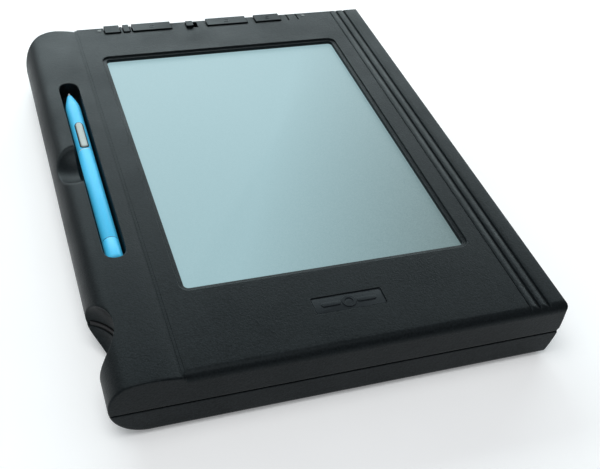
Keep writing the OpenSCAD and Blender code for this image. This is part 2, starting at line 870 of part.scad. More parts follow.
module pen_tail_cap() {
    edge = 0.8;
    color([0.17, 0.6, 0.8]) difference() {
        union() {
            turned(pen_tail + edge, pen_cap_y, pen_r, pen_r);
            turned(pen_tail, pen_tail + edge, pen_r - edge, pen_r);
            turned(pen_cap_y, pen_cap_y + seam_w, pen_r - seam_in, pen_r - seam_in);
        }
        turned(pen_tail - over, pen_tail + plug_l, plug_r, plug_r);
    }
}

module pen_tail_plug() {
    color([0.8, 0.85, 0.9]) turned(pen_tail + seam_in, pen_tail + plug_l, plug_r, plug_r);
}

module pen_nib() {
    color([0.93, 0.93, 0.9]) {
        turned(pen_taper_y, pen_nose - nib_point, nib_r, nib_r);
        turned(pen_nose - nib_point, pen_nose, nib_r, nib_r - 0.5);
    }
}

module pen_core() {
    r = pen_bore - clearance;
    color([0.1, 0.4, 0.2]) turned(pen_cap_y + 3, pen_seam_y - 4, r, r);
}

module pen_key() {
    color([0.72, 0.74, 0.76]) pen_oblong(0, pen_key_top - pen_key_t, pen_key_top);
}

module rubber_feet() {
    color([0.08, 0.08, 0.08]) for (f = feet)
        translate([f[0], f[1], 0]) cylinder(r = foot_r, h = foot_h + foot_sink);
}

module case_screws() {
    color([0.5, 0.5, 0.52]) for (p = case_screw_at) translate([p[0], p[1], 0]) {
        translate([0, 0, head_z]) cylinder(r = head_r, h = head_t);
        translate([0, 0, head_z]) cylinder(r = screw_r, h = part_z + 9 - head_z);
    }
}

module board_screws() {
    color([0.75, 0.75, 0.76]) for (p = board_screw_at) translate([p[0], p[1], 0]) {
        translate([0, 0, board_z + board_t]) cylinder(r = screw_r * 1.7, h = 1.3);
        translate([0, 0, floor_z + 0.8]) cylinder(r = screw_r * 0.7, h = board_z + board_t - floor_z);
    }
}

module display_ribbon() {
    x = board_right - 22;
    color([0.8, 0.65, 0.35])
        block([x - 12, board_front + 8, board_z + board_t], [x + 12, board_front + 8.4, shield_z]);
}

module drive_ribbon() {
    color([0.8, 0.65, 0.35])
        block([drive_x + 20, drive_y + drive_l, drive_z + 4], [drive_x + 70, board_front, drive_z + 4.4]);
}

top_shell();
bottom_shell();
window_gasket();
digitizer_glass();
display_panel();
light_guide();
backlight_tubes();
display_frame();
shield_plate();
inverter_board();
inverter_parts();
main_board();
board_chips();
heat_spreader();
memory_module();
memory_socket();
hard_drive();
drive_tray();
power_board();
power_parts();
backup_cell();
battery_pack();
battery_contacts();
battery_door();
speaker();
key_boards();
key_switches();
wide_key();
middle_key();
small_key();
power_slide();
wide_port_door();
small_port_door();
door_pins();
port_board();
port_connectors();
status_lights();
emblem_plate();
pen_grip();
pen_barrel();
pen_seam_ring();
pen_tail_cap();
pen_tail_plug();
pen_nib();
pen_core();
pen_key();
rubber_feet();
case_screws();
board_screws();
display_ribbon();
drive_ribbon();
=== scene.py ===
"""Notebook-size pen tablet: moulded case skins, keys, display, pen and small parts round the CAD frame."""

import json
import math

import bmesh
import bpy
import numpy as np
from mathutils import Matrix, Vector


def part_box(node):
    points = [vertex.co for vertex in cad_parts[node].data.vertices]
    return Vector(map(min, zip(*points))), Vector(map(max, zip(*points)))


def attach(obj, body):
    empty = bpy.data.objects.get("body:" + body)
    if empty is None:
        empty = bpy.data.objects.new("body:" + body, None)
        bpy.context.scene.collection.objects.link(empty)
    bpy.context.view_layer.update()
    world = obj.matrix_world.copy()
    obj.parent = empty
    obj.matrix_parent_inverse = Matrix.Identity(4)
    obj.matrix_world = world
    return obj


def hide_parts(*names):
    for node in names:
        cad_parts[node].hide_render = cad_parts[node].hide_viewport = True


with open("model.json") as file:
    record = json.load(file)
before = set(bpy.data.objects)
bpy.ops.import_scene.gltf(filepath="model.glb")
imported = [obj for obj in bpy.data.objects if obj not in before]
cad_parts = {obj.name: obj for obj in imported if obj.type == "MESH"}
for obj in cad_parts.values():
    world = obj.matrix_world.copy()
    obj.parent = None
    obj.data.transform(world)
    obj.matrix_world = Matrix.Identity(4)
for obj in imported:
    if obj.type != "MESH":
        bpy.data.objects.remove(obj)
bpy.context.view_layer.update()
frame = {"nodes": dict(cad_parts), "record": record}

MM = 0.001


def box_mm(node):
    """Lowest and highest corner of a CAD node, in millimetres."""
    low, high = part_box(node)
    return np.array(low) / MM, np.array(high) / MM


# ---------------------------------------------------------------------------
# Sizes in millimetres. Places come from the frame; these are the case's own curves.

TOP_LOW, TOP_HIGH = box_mm("top_shell")
LEFT, FRONT = TOP_LOW[:2]
PART = 17.0
RIGHT, REAR, CROWN = TOP_HIGH
FOOT = box_mm("bottom_shell")[0][2]
GASKET_LOW, GASKET_HIGH = box_mm("window_gasket")
WALL = 2.4
GLASS_LAP = 4.0
DECK = GASKET_HIGH[2] + WALL
CEILING = GASKET_HIGH[2]
REVEAL = 0.7

BELLY_R = 20.3
SHOULDER_R = 14.0
CROWN_R = 60.0
CROWN_LEAN = 6.54
GRIP_W = 33.25
RIDGE_RUN = 1.9
CORNER_R = 22.0
RIB_IN = 20.55
RIB_PITCH = 5.4
RIB_COUNT = 3
RIB_DEPTH = 1.1
DECK_FRONT_R = 4.5
DECK_REAR_R = 1.6
GRIP_FRONT_R = 0.9
UNDER_R = 3.0
LEAN_TOP = 28.0
LEAN_LOW = 5.4
LEAN_POWER = 2.4
SIDE_R = 1.4
BADGE_D = 0.9
BEZEL_W = 2.75
WINDOW_R = 2.5
SCOOP_OUT = 6.0
SCOOP_FRONT = 39.5
SCOOP = np.array([LEFT - SCOOP_OUT, FRONT + SCOOP_FRONT])
SCOOP_RISE = 5.0
SCOOP_R = 20.5
SCOOP_LIP = 1.6
SCOOP_GAP_IN = 0.6
WELL_R = 6.1
WELL_L = 156.5

BELLY_Z = FOOT + BELLY_R
SHOULDER_X = LEFT + SHOULDER_R
CROWN_X = SHOULDER_X + (CROWN_R - SHOULDER_R) * math.sin(math.radians(CROWN_LEAN))
CROWN_Z = BELLY_Z - (CROWN_R - SHOULDER_R) * math.cos(math.radians(CROWN_LEAN))
RIDGE_X = LEFT + GRIP_W
WINDOW_LOW = GASKET_LOW[:2] + GLASS_LAP
WINDOW_HIGH = GASKET_HIGH[:2] - GLASS_LAP
RIB_X = RIGHT - RIB_IN

PEN_LOW = box_mm("pen_tail_cap")[0]
PEN_HIGH = box_mm("pen_nib")[1]
PEN_R = (box_mm("pen_barrel")[1][0] - box_mm("pen_barrel")[0][0]) / 2
PEN_X = box_mm("pen_barrel")[0][0] + PEN_R
PEN_Z = box_mm("pen_barrel")[0][2] + PEN_R
WELL_Y = (PEN_LOW[1] + PEN_HIGH[1]) / 2 + 1
WELL_REACH = WELL_L / 2 - WELL_R
PEN_CLEAR = 0.35
WELL_FLOOR = PEN_Z - PEN_R - PEN_CLEAR
DIMPLE_IN = 9.6
DIMPLE_RISE = 13.3
DIMPLE = np.array([PEN_X - DIMPLE_IN, WELL_Y, DECK + DIMPLE_RISE])
DIMPLE_R = 20.0


# ---------------------------------------------------------------------------
# Mesh helpers


def grid_faces(rows, cols, offset=0, keep=None, wrap=False):
    """Quads of a rows by cols lattice of points, row by row; keep is a mask of the cells to make."""
    last = cols if wrap else cols - 1
    r, c = np.meshgrid(np.arange(rows - 1), np.arange(last), indexing="ij")
    if keep is not None:
        r, c = r[keep], c[keep]
    r, c = r.ravel(), c.ravel()
    n = (c + 1) % cols
    quads = np.stack([r * cols + c, r * cols + n, (r + 1) * cols + n, (r + 1) * cols + c], 1)
    return quads + offset


class Skin:
    """Gathers lattices of points into one mesh."""

    def __init__(self):
        self.points = []
        self.faces = []
        self.count = 0

    def add(self, points, flip=False, keep=None, wrap=False):
        """A lattice of shape rows, columns, 3. flip turns its faces over."""
        rows, cols, _ = points.shape
        faces = grid_faces(rows, cols, self.count, keep, wrap)
        self.points.append(points.reshape(-1, 3))
        self.faces.append(faces[:, ::-1] if flip else faces)
        self.count += rows * cols
        return self

    def fan(self, ring, flip=False):
        """One flat or slightly domed cap over a closed ring of points."""
        self.points.append(ring)
        index = np.arange(len(ring)) + self.count
        self.faces.append([list(index[::-1] if flip else index)])
        self.count += len(ring)
        return self

    def piece(self, name, merge=0.02, normals=False):
        """The finished mesh object, in metres, with doubled points merged and smooth faces."""
        mesh = bpy.data.meshes.new(name)
        faces = [list(map(int, f)) for group in self.faces for f in group]
        mesh.from_pydata((np.concatenate(self.points) * MM).tolist(), [], faces)
        bm = bmesh.new()
        bm.from_mesh(mesh)
        bmesh.ops.remove_doubles(bm, verts=bm.verts, dist=merge * MM)
        bmesh.ops.dissolve_degenerate(bm, edges=bm.edges, dist=merge * MM * 0.5)
        if normals:
            bmesh.ops.recalc_face_normals(bm, faces=bm.faces)
        bm.to_mesh(mesh)
        bm.free()
        mesh.polygons.foreach_set("use_smooth", np.ones(len(mesh.polygons), bool))
        mesh.set_sharp_from_angle(angle=math.radians(38))
        obj = bpy.data.objects.new(name, mesh)
        bpy.context.scene.collection.objects.link(obj)
        return obj


def dress(obj, material, body, slot, *nodes):
    """Gives a piece its material and body, and hides the CAD nodes it stands for; slot is not used."""
    obj.data.materials.clear()
    obj.data.materials.append(material)
    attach(obj, body)
    if nodes:
        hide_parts(*nodes)
    return obj


def spread(stops, step):
    """Sorted values that hold every stop and have no gap wider than step between two of them."""
    stops = np.unique(np.round(stops, 4))
    out = [stops[:1]]
    for a, b in zip(stops[:-1], stops[1:]):
        n = max(1, math.ceil((b - a) / step))
        out.append(np.linspace(a, b, n + 1)[1:])
    return np.concatenate(out)


def arc(cx, cz, r, a0, a1, n):
    """Points on a circle about (cx, cz) from angle a0 to a1 in degrees."""
    a = np.radians(np.linspace(a0, a1, n))
    return np.stack([cx + r * np.cos(a), cz + r * np.sin(a)], 1)


def smoothstep(x, low, high):
    """0 below low, 1 above high, and an S-curve between."""
    t = np.clip((x - low) / (high - low), 0, 1)
    return t * t * (3 - 2 * t)


def soft_min(a, b, k):
    """The lower of a and b, rounded over a width k where they cross."""
    return (a + b - np.sqrt((a - b) ** 2 + k * k)) / 2


def quarter(r, depth):
    """How far a quarter circle of radius r has moved in at a depth from the end."""
    gap = np.clip(r - depth, 0, np.maximum(r, 0))
    return r - np.sqrt(np.maximum(r * r - gap * gap, 0))


def side_x(z):
    """The ribbed side's place at a height: upright above, and curling in below with a power of
    the depth."""
    depth = np.clip((LEAN_TOP - np.asarray(z, float)) / (LEAN_TOP - FOOT), 0, 1)
    return RIGHT - LEAN_LOW * depth**LEAN_POWER


# ---------------------------------------------------------------------------
# Case sections


class Section:
    """A case outline in the X-Z plane with what its ends need: the direction that an end
    rounding moves each point, and the rounding's radius at the front and the rear."""

    def __init__(self):
        self.rows = []

    def run(self, points, inward, front, rear):
        """Adds a stretch. inward is one direction or one for each point; front and rear are
        radii, each one number or a pair from the start to the end of the stretch."""
        points = np.asarray(points, float)
        n = len(points)
        inward = np.broadcast_to(np.asarray(inward, float), (n, 2))
        front = np.linspace(*front, n) if np.ndim(front) else np.full(n, front)
        rear = np.linspace(*rear, n) if np.ndim(rear) else np.full(n, rear)
        self.rows.append(np.column_stack([points, inward, front, rear]))
        return self

    def close(self):
        """Joins the stretches and measures the length along the outline."""
        table = np.concatenate(self.rows)
        step = np.hypot(*np.diff(table[:, :2], axis=0).T)
        keep = np.concatenate([[True], step > 1e-6])
        self.table = table[keep]
        self.s = np.concatenate([[0], np.cumsum(np.hypot(*np.diff(self.table[:, :2], axis=0).T))])
        return self

    def at(self, s):
        """Columns x, z, inward x, inward z, front radius, rear radius at lengths s."""
        return [np.interp(s, self.s, self.table[:, k]) for k in range(6)]

    def s_of_x(self, x):
        """Length at which the broad face of the outline reaches x."""
        low = np.searchsorted(self.s, self.widest)
        return np.interp(x, self.table[low:self.flat_end, 0], self.s[low:self.flat_end])

    def level(self, height, left, right):
        """Sets where the end walls stop: height is the parting line's, and the lines from x = left
        to x = right stand upright, while those outside fan out to the ends."""
        self.far_z = height
        self.upright = left, right
        return self

    def far_x(self, s, first, last):
        """Where the end wall's lines meet the parting line, whose ends are at x = first and last."""
        left, right = self.upright
        stops = [self.s[0], float(self.s_of_x(left)), float(self.s_of_x(right)), self.s[-1]]
        return np.interp(s, stops, [first, left, right, last])


def inward_of(points, cx, cz):
    """Unit directions from points on a circle towards its centre."""
    d = np.array([cx, cz]) - points
    return d / np.linalg.norm(d, axis=1, keepdims=True)


def upper_section():
    """Left parting line, belly, shoulder, crown, stepped ridge, deck, ribs, right side."""
    out = Section()
    low_angle = 180 + math.degrees(math.asin((BELLY_Z - PART) / BELLY_R))
    belly = arc(LEFT + BELLY_R, BELLY_Z, BELLY_R, low_angle, 180, 14)
    shoulder = arc(SHOULDER_X, BELLY_Z, SHOULDER_R, 180, 90 + CROWN_LEAN, 32)
    ridge_angle = math.degrees(math.acos((RIDGE_X - CROWN_X) / CROWN_R))
    crown = arc(CROWN_X, CROWN_Z, CROWN_R, 90 + CROWN_LEAN, ridge_angle, 26)
    foot = crown[-1, 1]
    step = (DECK - foot) / 2
    out.run(belly, inward_of(belly, LEFT + BELLY_R, BELLY_Z), GRIP_FRONT_R, 0)
    out.run(shoulder, inward_of(shoulder, SHOULDER_X, BELLY_Z), GRIP_FRONT_R, (0, UNDER_R))
    out.run(crown, inward_of(crown, CROWN_X, CROWN_Z), GRIP_FRONT_R, UNDER_R)
    riser = np.array([[0, 0], [0.1, 0.12], [0.3, 0.85], [0.42, 1.0]])
    ridge = np.concatenate([
        [RIDGE_X + at, foot + step * k] + riser * [1, step] for k, at in enumerate((0, RIDGE_RUN - 0.4))])
    out.run(ridge, (0, -1), (GRIP_FRONT_R, DECK_FRONT_R), (UNDER_R, DECK_REAR_R))
    out.run([[RIDGE_X + RIDGE_RUN + 0.1, DECK], [RIB_X - 0.45, DECK]], (0, -1), DECK_FRONT_R, DECK_REAR_R)
    out.run(rib_run(), (0, -1), DECK_FRONT_R, DECK_REAR_R)
    edge = arc(RIGHT - 1, DECK - 1, 1, 90, 0, 8)
    out.run(edge, inward_of(edge, RIGHT - 1, DECK - 1), (DECK_FRONT_R, 4), (DECK_REAR_R, 4))
    down = np.linspace(LEAN_TOP, PART, 8)
    out.run(np.column_stack([side_x(down), down]), (-1, 0), SIDE_R, SIDE_R)
    out.close()
    out.widest = float(out.s[len(belly) - 1])
    out.flat_end = int(np.argmax(out.table[:, 0])) + 1
    out.flat_from = float(out.s_of_x(RIDGE_X + RIDGE_RUN))
    out.face = DECK, DECK_FRONT_R, DECK_REAR_R
    out.up = True
    return out


def rib_run():
    """Each groove has a short wall down and a steep wall up with a rounded top; from there the rib
    rolls down with a power of the way across, and the strip after the last groove is flat."""
    points = [[RIB_X - 0.35, DECK], [RIB_X - 0.2, DECK - 0.15]]
    for k in range(RIB_COUNT):
        x = RIB_X + k * RIB_PITCH
        points += [[x - 0.05, DECK - RIB_DEPTH], [x + 0.1, DECK - RIB_DEPTH]]
        points += [[x + 0.22, DECK - 0.75], [x + 0.34, DECK - 0.45]]
        points += [[x + 0.6, DECK - 0.2], [x + 0.9, DECK - 0.06]]
        last = k == RIB_COUNT - 1
        across = np.linspace(0, 1, 3 if last else 14)
        fall = 0.0 if last else RIB_DEPTH
        top = np.column_stack([x + 1.2 + (RIB_PITCH - 1.4) * across, DECK - fall * across**2.2])
        points += top.tolist() if last else top[:-1].tolist()
    return points


def lower_section():
    """Left parting line, belly, floor, right side; the same form as the upper one."""
    out = Section()
    top = PART - REVEAL
    start = 180 + math.degrees(math.asin((BELLY_Z - top) / BELLY_R))
    belly = arc(LEFT + BELLY_R, BELLY_Z, BELLY_R, start, 270, 70)
    out.run(belly, inward_of(belly, LEFT + BELLY_R, BELLY_Z), (GRIP_FRONT_R, UNDER_R), (0, UNDER_R))
    low_right = RIGHT - LEAN_LOW
    out.run([[LEFT + BELLY_R + 1, FOOT], [low_right - 1.6, FOOT]], (0, 1), UNDER_R, UNDER_R)
    edge = arc(low_right - 1.4, FOOT + 1.5, 1.5, 270, 335, 8)
    out.run(edge, inward_of(edge, low_right - 1.4, FOOT + 1.5), (UNDER_R, 4), (UNDER_R, 4))
    up = np.linspace(FOOT + UNDER_R, top, 10)
    out.run(np.column_stack([side_x(up), up]), (-1, 0), SIDE_R, SIDE_R)
    out.close()
    out.widest = 0.0
    out.flat_end = int(np.argmax(out.table[:, 0])) + 1
    out.flat_from = float(out.s_of_x(0.0))
    out.face = FOOT, UNDER_R, UNDER_R
    out.up = False
    return out


def rear_edge(x):
    """The rear boundary in plan: straight, with a large arc at the corner on the grip side."""
    inset = np.clip(LEFT + CORNER_R - x, 0, CORNER_R)
    return REAR - CORNER_R + np.sqrt(CORNER_R**2 - inset**2)


CORNER_WARP = 96.0


def swell(section, s, y, sink=None):
    """A point of the case skin at length s along its section and y along the case. Near either
    end the grip moves inwards on a quarter circle, and the rest is held under one for the broad
    face and one for the side; near the rear the rows bend to the corner's arc."""
    x, z, dx, dz, front_r, rear_r = section.at(s)
    end = rear_edge(np.where(s < section.widest, LEFT, x))
    bent = CORNER_WARP + (y - CORNER_WARP) * (end - CORNER_WARP) / (REAR - CORNER_WARP)
    y = np.where(y > CORNER_WARP, bent, y)
    flat = s > section.flat_from
    move = np.maximum(quarter(front_r, y - FRONT), quarter(rear_r, end - y)) * ~flat
    x, z = x + dx * move, z + dz * move
    face_z, face_front, face_rear = section.face
    face = np.maximum(quarter(face_front, y - FRONT), quarter(face_rear, end - y))
    held = np.minimum(z, face_z - face) if section.up else np.maximum(z, face_z + face)
    z = np.where(flat, held, z)
    side = np.maximum(quarter(SIDE_R, y - FRONT), quarter(SIDE_R, end - y))
    x = np.where(flat, np.minimum(x, side_x(z) - side), x)
    if sink is not None:
        z = sink(x, y, z)
    return np.stack([x, y, z], -1)


def thumb_dimple(x, y, z):
    """Lowers the skin to a sphere beside the pen, with a soft edge where they meet."""
    under = DIMPLE_R**2 - (x - DIMPLE[0]) ** 2 - (y - DIMPLE[1]) ** 2
    ball = np.where(under > 0, DIMPLE[2] - np.sqrt(np.maximum(under, 0)), CROWN + 40)
    return np.where((z > PART + 4) & (ball < CROWN + 4), soft_min(z, ball, 0.5), z)


def scooped(points, radius, rise=0.0, undercut=0.0):
    """Pushes points level outwards from the scoop's upright axis to its sphere, whose centre is
    rise above the parting line; a hyperbola rounds the edge. Just above the parting line an
    undercut makes the circle larger."""
    arm = points[..., :2] - SCOOP
    away = np.maximum(np.linalg.norm(arm, axis=-1), 1e-6)
    height = points[..., 2] - PART
    circle = np.sqrt(np.maximum(radius**2 - (height - rise) ** 2, 0))
    circle = circle + undercut * (1 - smoothstep(height, 1.8, 2.1))
    pushed = (away + circle + np.sqrt((away - circle) ** 2 + 0.2)) / 2
    scale = np.where(away < circle + 6, pushed / away, 1.0)
    out = points.copy()
    out[..., :2] = SCOOP + arm * scale[..., None]
    return out


LIP_R = 0.35


def lip(points, edge):
    """Rounds the edge at the parting line: the last stretch of height, LIP_R long, closes in on the
    plan's middle along a quarter circle."""
    d = np.clip(np.abs(points[..., 2] - edge) / LIP_R, 0, 1)
    m = LIP_R * (1 - np.sqrt(np.maximum(1 - (1 - d) ** 2, 0)))
    out = points.copy()
    out[..., 0] *= 1 - m / RIGHT
    out[..., 1] *= 1 - m / REAR
    return out


# ---------------------------------------------------------------------------
# Rear controls and vents, from the frame

CONTROL_L = 8.5


def notch_of(node, low, grow):
    """X range, front and lowest height of the case opening for a rear control."""
    a, b = box_mm(node)
    return a[0] - grow, b[0] + grow, REAR - CONTROL_L - GAP, low


KEYS = ["wide_key", "middle_key", "small_key"]
DOORS = ["wide_port_door", "small_port_door"]
FLANGE = 1.0
GAP = 0.42
KEY_SLOT_Z = 28.9
DOOR_SLOT_Z = 19.8
NOTCHES = [notch_of(k, KEY_SLOT_Z, GAP - FLANGE) for k in KEYS]
NOTCHES += [notch_of(d, DOOR_SLOT_Z, GAP) for d in DOORS]
VENTS = [62.25, 69.0]
VENT_HALF = 0.5


def rear_details(x, y, z):
    """Softens the edges of the control openings and cuts the vent slots."""
    for x0, x1, y0, _ in NOTCHES:
        d = np.hypot(np.maximum(np.maximum(x0 - x, x - x1), 0), np.maximum(y0 - y, 0))
        z = z - 0.25 * np.clip(1 - d / 0.35, 0, 1) ** 2 * (z > CEILING)
    for vent in VENTS:
        inside = (np.abs(x - vent) < VENT_HALF + 0.01) & (y > REAR - CONTROL_L - 0.01) & (y < REAR - 1.55)
        z = np.where(inside & (z > CEILING), z - 1.0, z)
    return z


def upper_sink(x, y, z):
    """All the dips of the upper skin."""
    return rear_details(x, y, thumb_dimple(x, y, z))


# ---------------------------------------------------------------------------
# Openings in the skins


class Opening:
    """A hole with a rounded outline in a skin. steps are (inset, depth) pairs down its wall;
    foot, if given, is the height of its flat floor."""

    def __init__(self, low, high, r, margin, steps, foot=None):
        self.low, self.high, self.r = np.array(low, float), np.array(high, float), r
        self.outer_low, self.outer_high = self.low - margin, self.high + margin
        self.steps, self.foot = steps, foot

    def outline(self, outer):
        """For each point outside: the nearest point of the outline's core and the direction to it."""
        core = np.clip(outer, self.low + self.r, self.high - self.r)
        away = outer - core
        return core, away / np.linalg.norm(away, axis=-1, keepdims=True)

    def cells(self, x, y):
        """Which cells of a grid the ring round this opening takes the place of."""
        cx, cy = (x[1:] + x[:-1]) / 2, (y[1:] + y[:-1]) / 2
        in_x = (cx > self.outer_low[0]) & (cx < self.outer_high[0])
        in_y = (cy > self.outer_low[1]) & (cy < self.outer_high[1])
        return in_y[:, None] & in_x[None, :]


def between(values, low, high):
    """The sorted values from low to high, ends included."""
    return values[(values > low - 2e-3) & (values < high + 2e-3)]


def ring(skin, section, opening, s, y, surface, down):
    """Fills the space between the grid lines round an opening and its outline, along straight
    lines in length and y, then goes down the opening's wall and over its floor."""
    s0, s1 = section.s_of_x(np.array([opening.outer_low[0], opening.outer_high[0]]))
    si, yj = between(s, s0, s1), between(y, opening.outer_low[1], opening.outer_high[1])
    border = np.concatenate([
        np.column_stack([si[:-1], np.full(len(si) - 1, yj[0])]),
        np.column_stack([np.full(len(yj) - 1, si[-1]), yj[:-1]]),
        np.column_stack([si[:0:-1], np.full(len(si) - 1, yj[-1])]),
        np.column_stack([np.full(len(yj) - 1, si[0]), yj[:0:-1]])])
    x = section.at(border[:, 0])[0]
    core, away = opening.outline(np.column_stack([x, border[:, 1]]))
    edge = core + away * opening.r
    inner = np.column_stack([section.s_of_x(edge[:, 0]), edge[:, 1]])
    t = np.array([0, 0.4, 0.75, 0.93, 1])[:, None, None]
    flat = border * (1 - t) + inner * t
    rows = list(surface(flat[..., 0], flat[..., 1]))
    top = rows[-1][:, 2]
    for inset, depth in opening.steps:
        rows.append(np.column_stack([core + away * (opening.r - inset), top - down * depth]))
    if opening.foot is not None:
        last = opening.steps[-1][0]
        for inset, rise in ((last, 0.9), (last + 0.1, 0.45), (last + 0.35, 0.12), (last + 0.7, 0.0)):
            height = np.full(len(core), opening.foot + down * rise)
            rows.append(np.column_stack([core + away * (opening.r - inset), height]))
    skin.add(np.array(rows), flip=down < 0, wrap=True)
    if opening.foot is not None:
        skin.fan(rows[-1], flip=down < 0)


def end_wall(skin, section, s, first, rear, heights, keep, flip):
    """The upright wall between an end of a skin and the parting line. Lines run from each end
    point straight to the parting line; at the rear they lie on the plan's corner arc."""
    x0, z0 = first[:, 0], first[:, 2]
    x1 = section.far_x(s, x0[0], x0[-1])
    t = heights[:, None]
    x = x0 * (1 - t) + x1 * t
    z = z0 * (1 - t) + section.far_z * t
    if rear:
        y = rear_edge(x) - (rear_edge(x0) - first[:, 1]) * (1 - t) ** 6
    else:
        y = np.full_like(x, FRONT) + (first[:, 1] - FRONT) * (1 - t) ** 6
    skin.add(lip(np.stack([x, y, z], -1), section.far_z), flip=flip, keep=keep)


def y_stops(front, rear, *more):
    """Stops along the case: close together at both end roundings, and wherever more says."""
    ends = np.array([0, 0.04, 0.15, 0.35, 0.65, 1.05, 1.6, 2.3, 3.1, 4.0, 4.5, 6])
    return np.concatenate([front + ends, rear - ends, *more])


def case_skin(section, s, y, openings, surface, down, notches):
    """One half of the case: the skin swept from front to rear, rings round its openings, and the
    two end walls. Notches are left out of the skin and the rear wall."""
    skin = Skin()
    x = section.at(s)[0]
    cx, cy = (x[1:] + x[:-1]) / 2, (y[1:] + y[:-1]) / 2
    keep = np.ones((len(y) - 1, len(s) - 1), bool)
    broad = (s[1:] > section.widest) & (s[1:] < section.s[section.flat_end - 1])
    for opening in openings:
        keep &= ~(opening.cells(x, y) & broad)
    top = section.end_top
    heights = np.unique(np.concatenate([
        [0, 0.03, 0.1, 0.25, 0.4, 0.55, 0.7, 0.85, 0.93, 0.975, 0.985, 0.993, 1],
        [(top - n[3]) / (top - section.far_z) for n in notches]]))
    middle = (heights[1:] + heights[:-1]) / 2
    rear_keep = np.ones((len(heights) - 1, len(s) - 1), bool)
    for x0, x1, y0, low in notches:
        across = (cx > x0) & (cx < x1) & broad
        keep &= ~((cy > y0)[:, None] & across)
        rear_keep &= ~((middle < (top - low) / (top - section.far_z))[:, None] & across)
    points = surface(*np.meshgrid(s, y))
    skin.add(points, flip=down < 0, keep=keep)
    for opening in openings:
        ring(skin, section, opening, s, y, surface, down)
    end_wall(skin, section, s, points[0], False, heights, None, down > 0)
    end_wall(skin, section, s, points[-1], True, heights, rear_keep, down < 0)
    return skin


def notch_stops(section):
    """Grid lines along the edges of the control openings and vents, as lengths and as y."""
    near = np.array([0, 0.12, 0.35])
    xs = [np.concatenate([n[0] - near, n[1] + near]) for n in NOTCHES]
    across = VENT_HALF + np.array([0, 0.02])
    xs += [v + side * across for v in VENTS for side in (-1, 1)]
    ys = [NOTCHES[0][2] - near, REAR - CONTROL_L + np.array([0, 0.02])]
    return section.s_of_x(np.concatenate(xs)), np.concatenate(ys)


def walls(obj, thickness):
    """Gives a skin a wall of this thickness behind it."""
    solid = obj.modifiers.new("wall", "SOLIDIFY")
    solid.thickness = thickness * MM
    solid.offset = -1
    solid.use_rim = True
    return obj


SKIN_WALL = 1.4
WELL = Opening(
    (PEN_X - WELL_R, WELL_Y - WELL_REACH - WELL_R), (PEN_X + WELL_R, WELL_Y + WELL_REACH + WELL_R),
    WELL_R, (1.6, 2.5), [(0.06, 0.02), (0.22, 0.1), (0.42, 0.3), (0.55, 0.65)], WELL_FLOOR)
WINDOW = Opening(
    WINDOW_LOW - BEZEL_W, WINDOW_HIGH + BEZEL_W, WINDOW_R + BEZEL_W, 4,
    [(0.05, 0.02), (0.2, 0.1), (0.32, 0.3), (0.36, 0.7), (0.5, 0.88), (0.75, 0.92), (2.3, 1.0),
     (2.55, 1.06), (2.7, 1.22), (2.75, 1.5), (2.75, DECK - CEILING)])
SLIDE_SLOT = Opening(
    (-9.3, REAR - 8.9), (-1.1, REAR - 2.4), 0.6, 0.6,
    [(0.05, 0.02), (0.15, 0.1), (0.2, 0.35), (0.2, 1.2), (0.2, 2.4)])
BADGE_HALF = np.array([18.5, 5.5])
BADGE = (box_mm("emblem_plate")[0][:2] + box_mm("emblem_plate")[1][:2]) / 2
BADGE_POCKET = Opening(
    BADGE - BADGE_HALF, BADGE + BADGE_HALF, 1.0, 2.5,
    [(0.05, 0.02), (0.18, 0.12), (0.22, 0.4)], DECK - BADGE_D)


SCOOP_SPAN = -22.5, 22.5


def upper_case():
    """The upper half: grip with pen well, thumb dimple and finger scoop, and the ribbed deck."""
    section = upper_section().level(PART, RIDGE_X + RIDGE_RUN, RIB_X)
    section.end_top = DECK - DECK_REAR_R
    openings = [WELL, WINDOW, BADGE_POCKET, SLIDE_SLOT]
    edges = np.concatenate([[o.outer_low, o.outer_high, o.low + o.r, o.high - o.r] for o in openings])
    corner = np.linspace(0, WINDOW.r, 5)[:, None]
    rounds = np.concatenate([WINDOW.low + corner, WINDOW.high - WINDOW.r + corner])
    stops_x, stops_y = np.concatenate([edges, rounds]).T
    notch_s, notch_y = notch_stops(section)
    s = spread(np.concatenate([
        section.s, section.s_of_x(stops_x), notch_s,
        np.arange(0, 0.6, 0.15), np.arange(0.6, 6, 0.6)]), 6)
    y = spread(np.concatenate([
        y_stops(FRONT, REAR, stops_y, notch_y), SCOOP[1] + np.arange(*SCOOP_SPAN, 0.8),
        np.arange(WELL_Y - 20, WELL_Y + 20, 1.0), np.arange(116, 150, 2)]), 6)

    def surface(a, b):
        swollen = swell(section, a, b, upper_sink)
        return lip(scooped(swollen, SCOOP_R, SCOOP_RISE, SCOOP_GAP_IN), PART)

    skin = case_skin(section, s, y, openings, surface, 1, NOTCHES)
    return walls(skin.piece("upper_case", merge=0.045), SKIN_WALL)


SCREW_X = [-72.1, 15.95, 104.0]
SCREWS = [(x, FRONT + 9.5) for x in SCREW_X] + [(SCREW_X[2], 39.5), (SCREW_X[2], REAR - 12)]
SCREW_HOLE_R = 3.1
HOLE_MARGIN = 0.7
HATCH_LOW, HATCH_HIGH = box_mm("battery_door")
HATCH_GAP = 0.3
LOWER_EDGE = PART - REVEAL


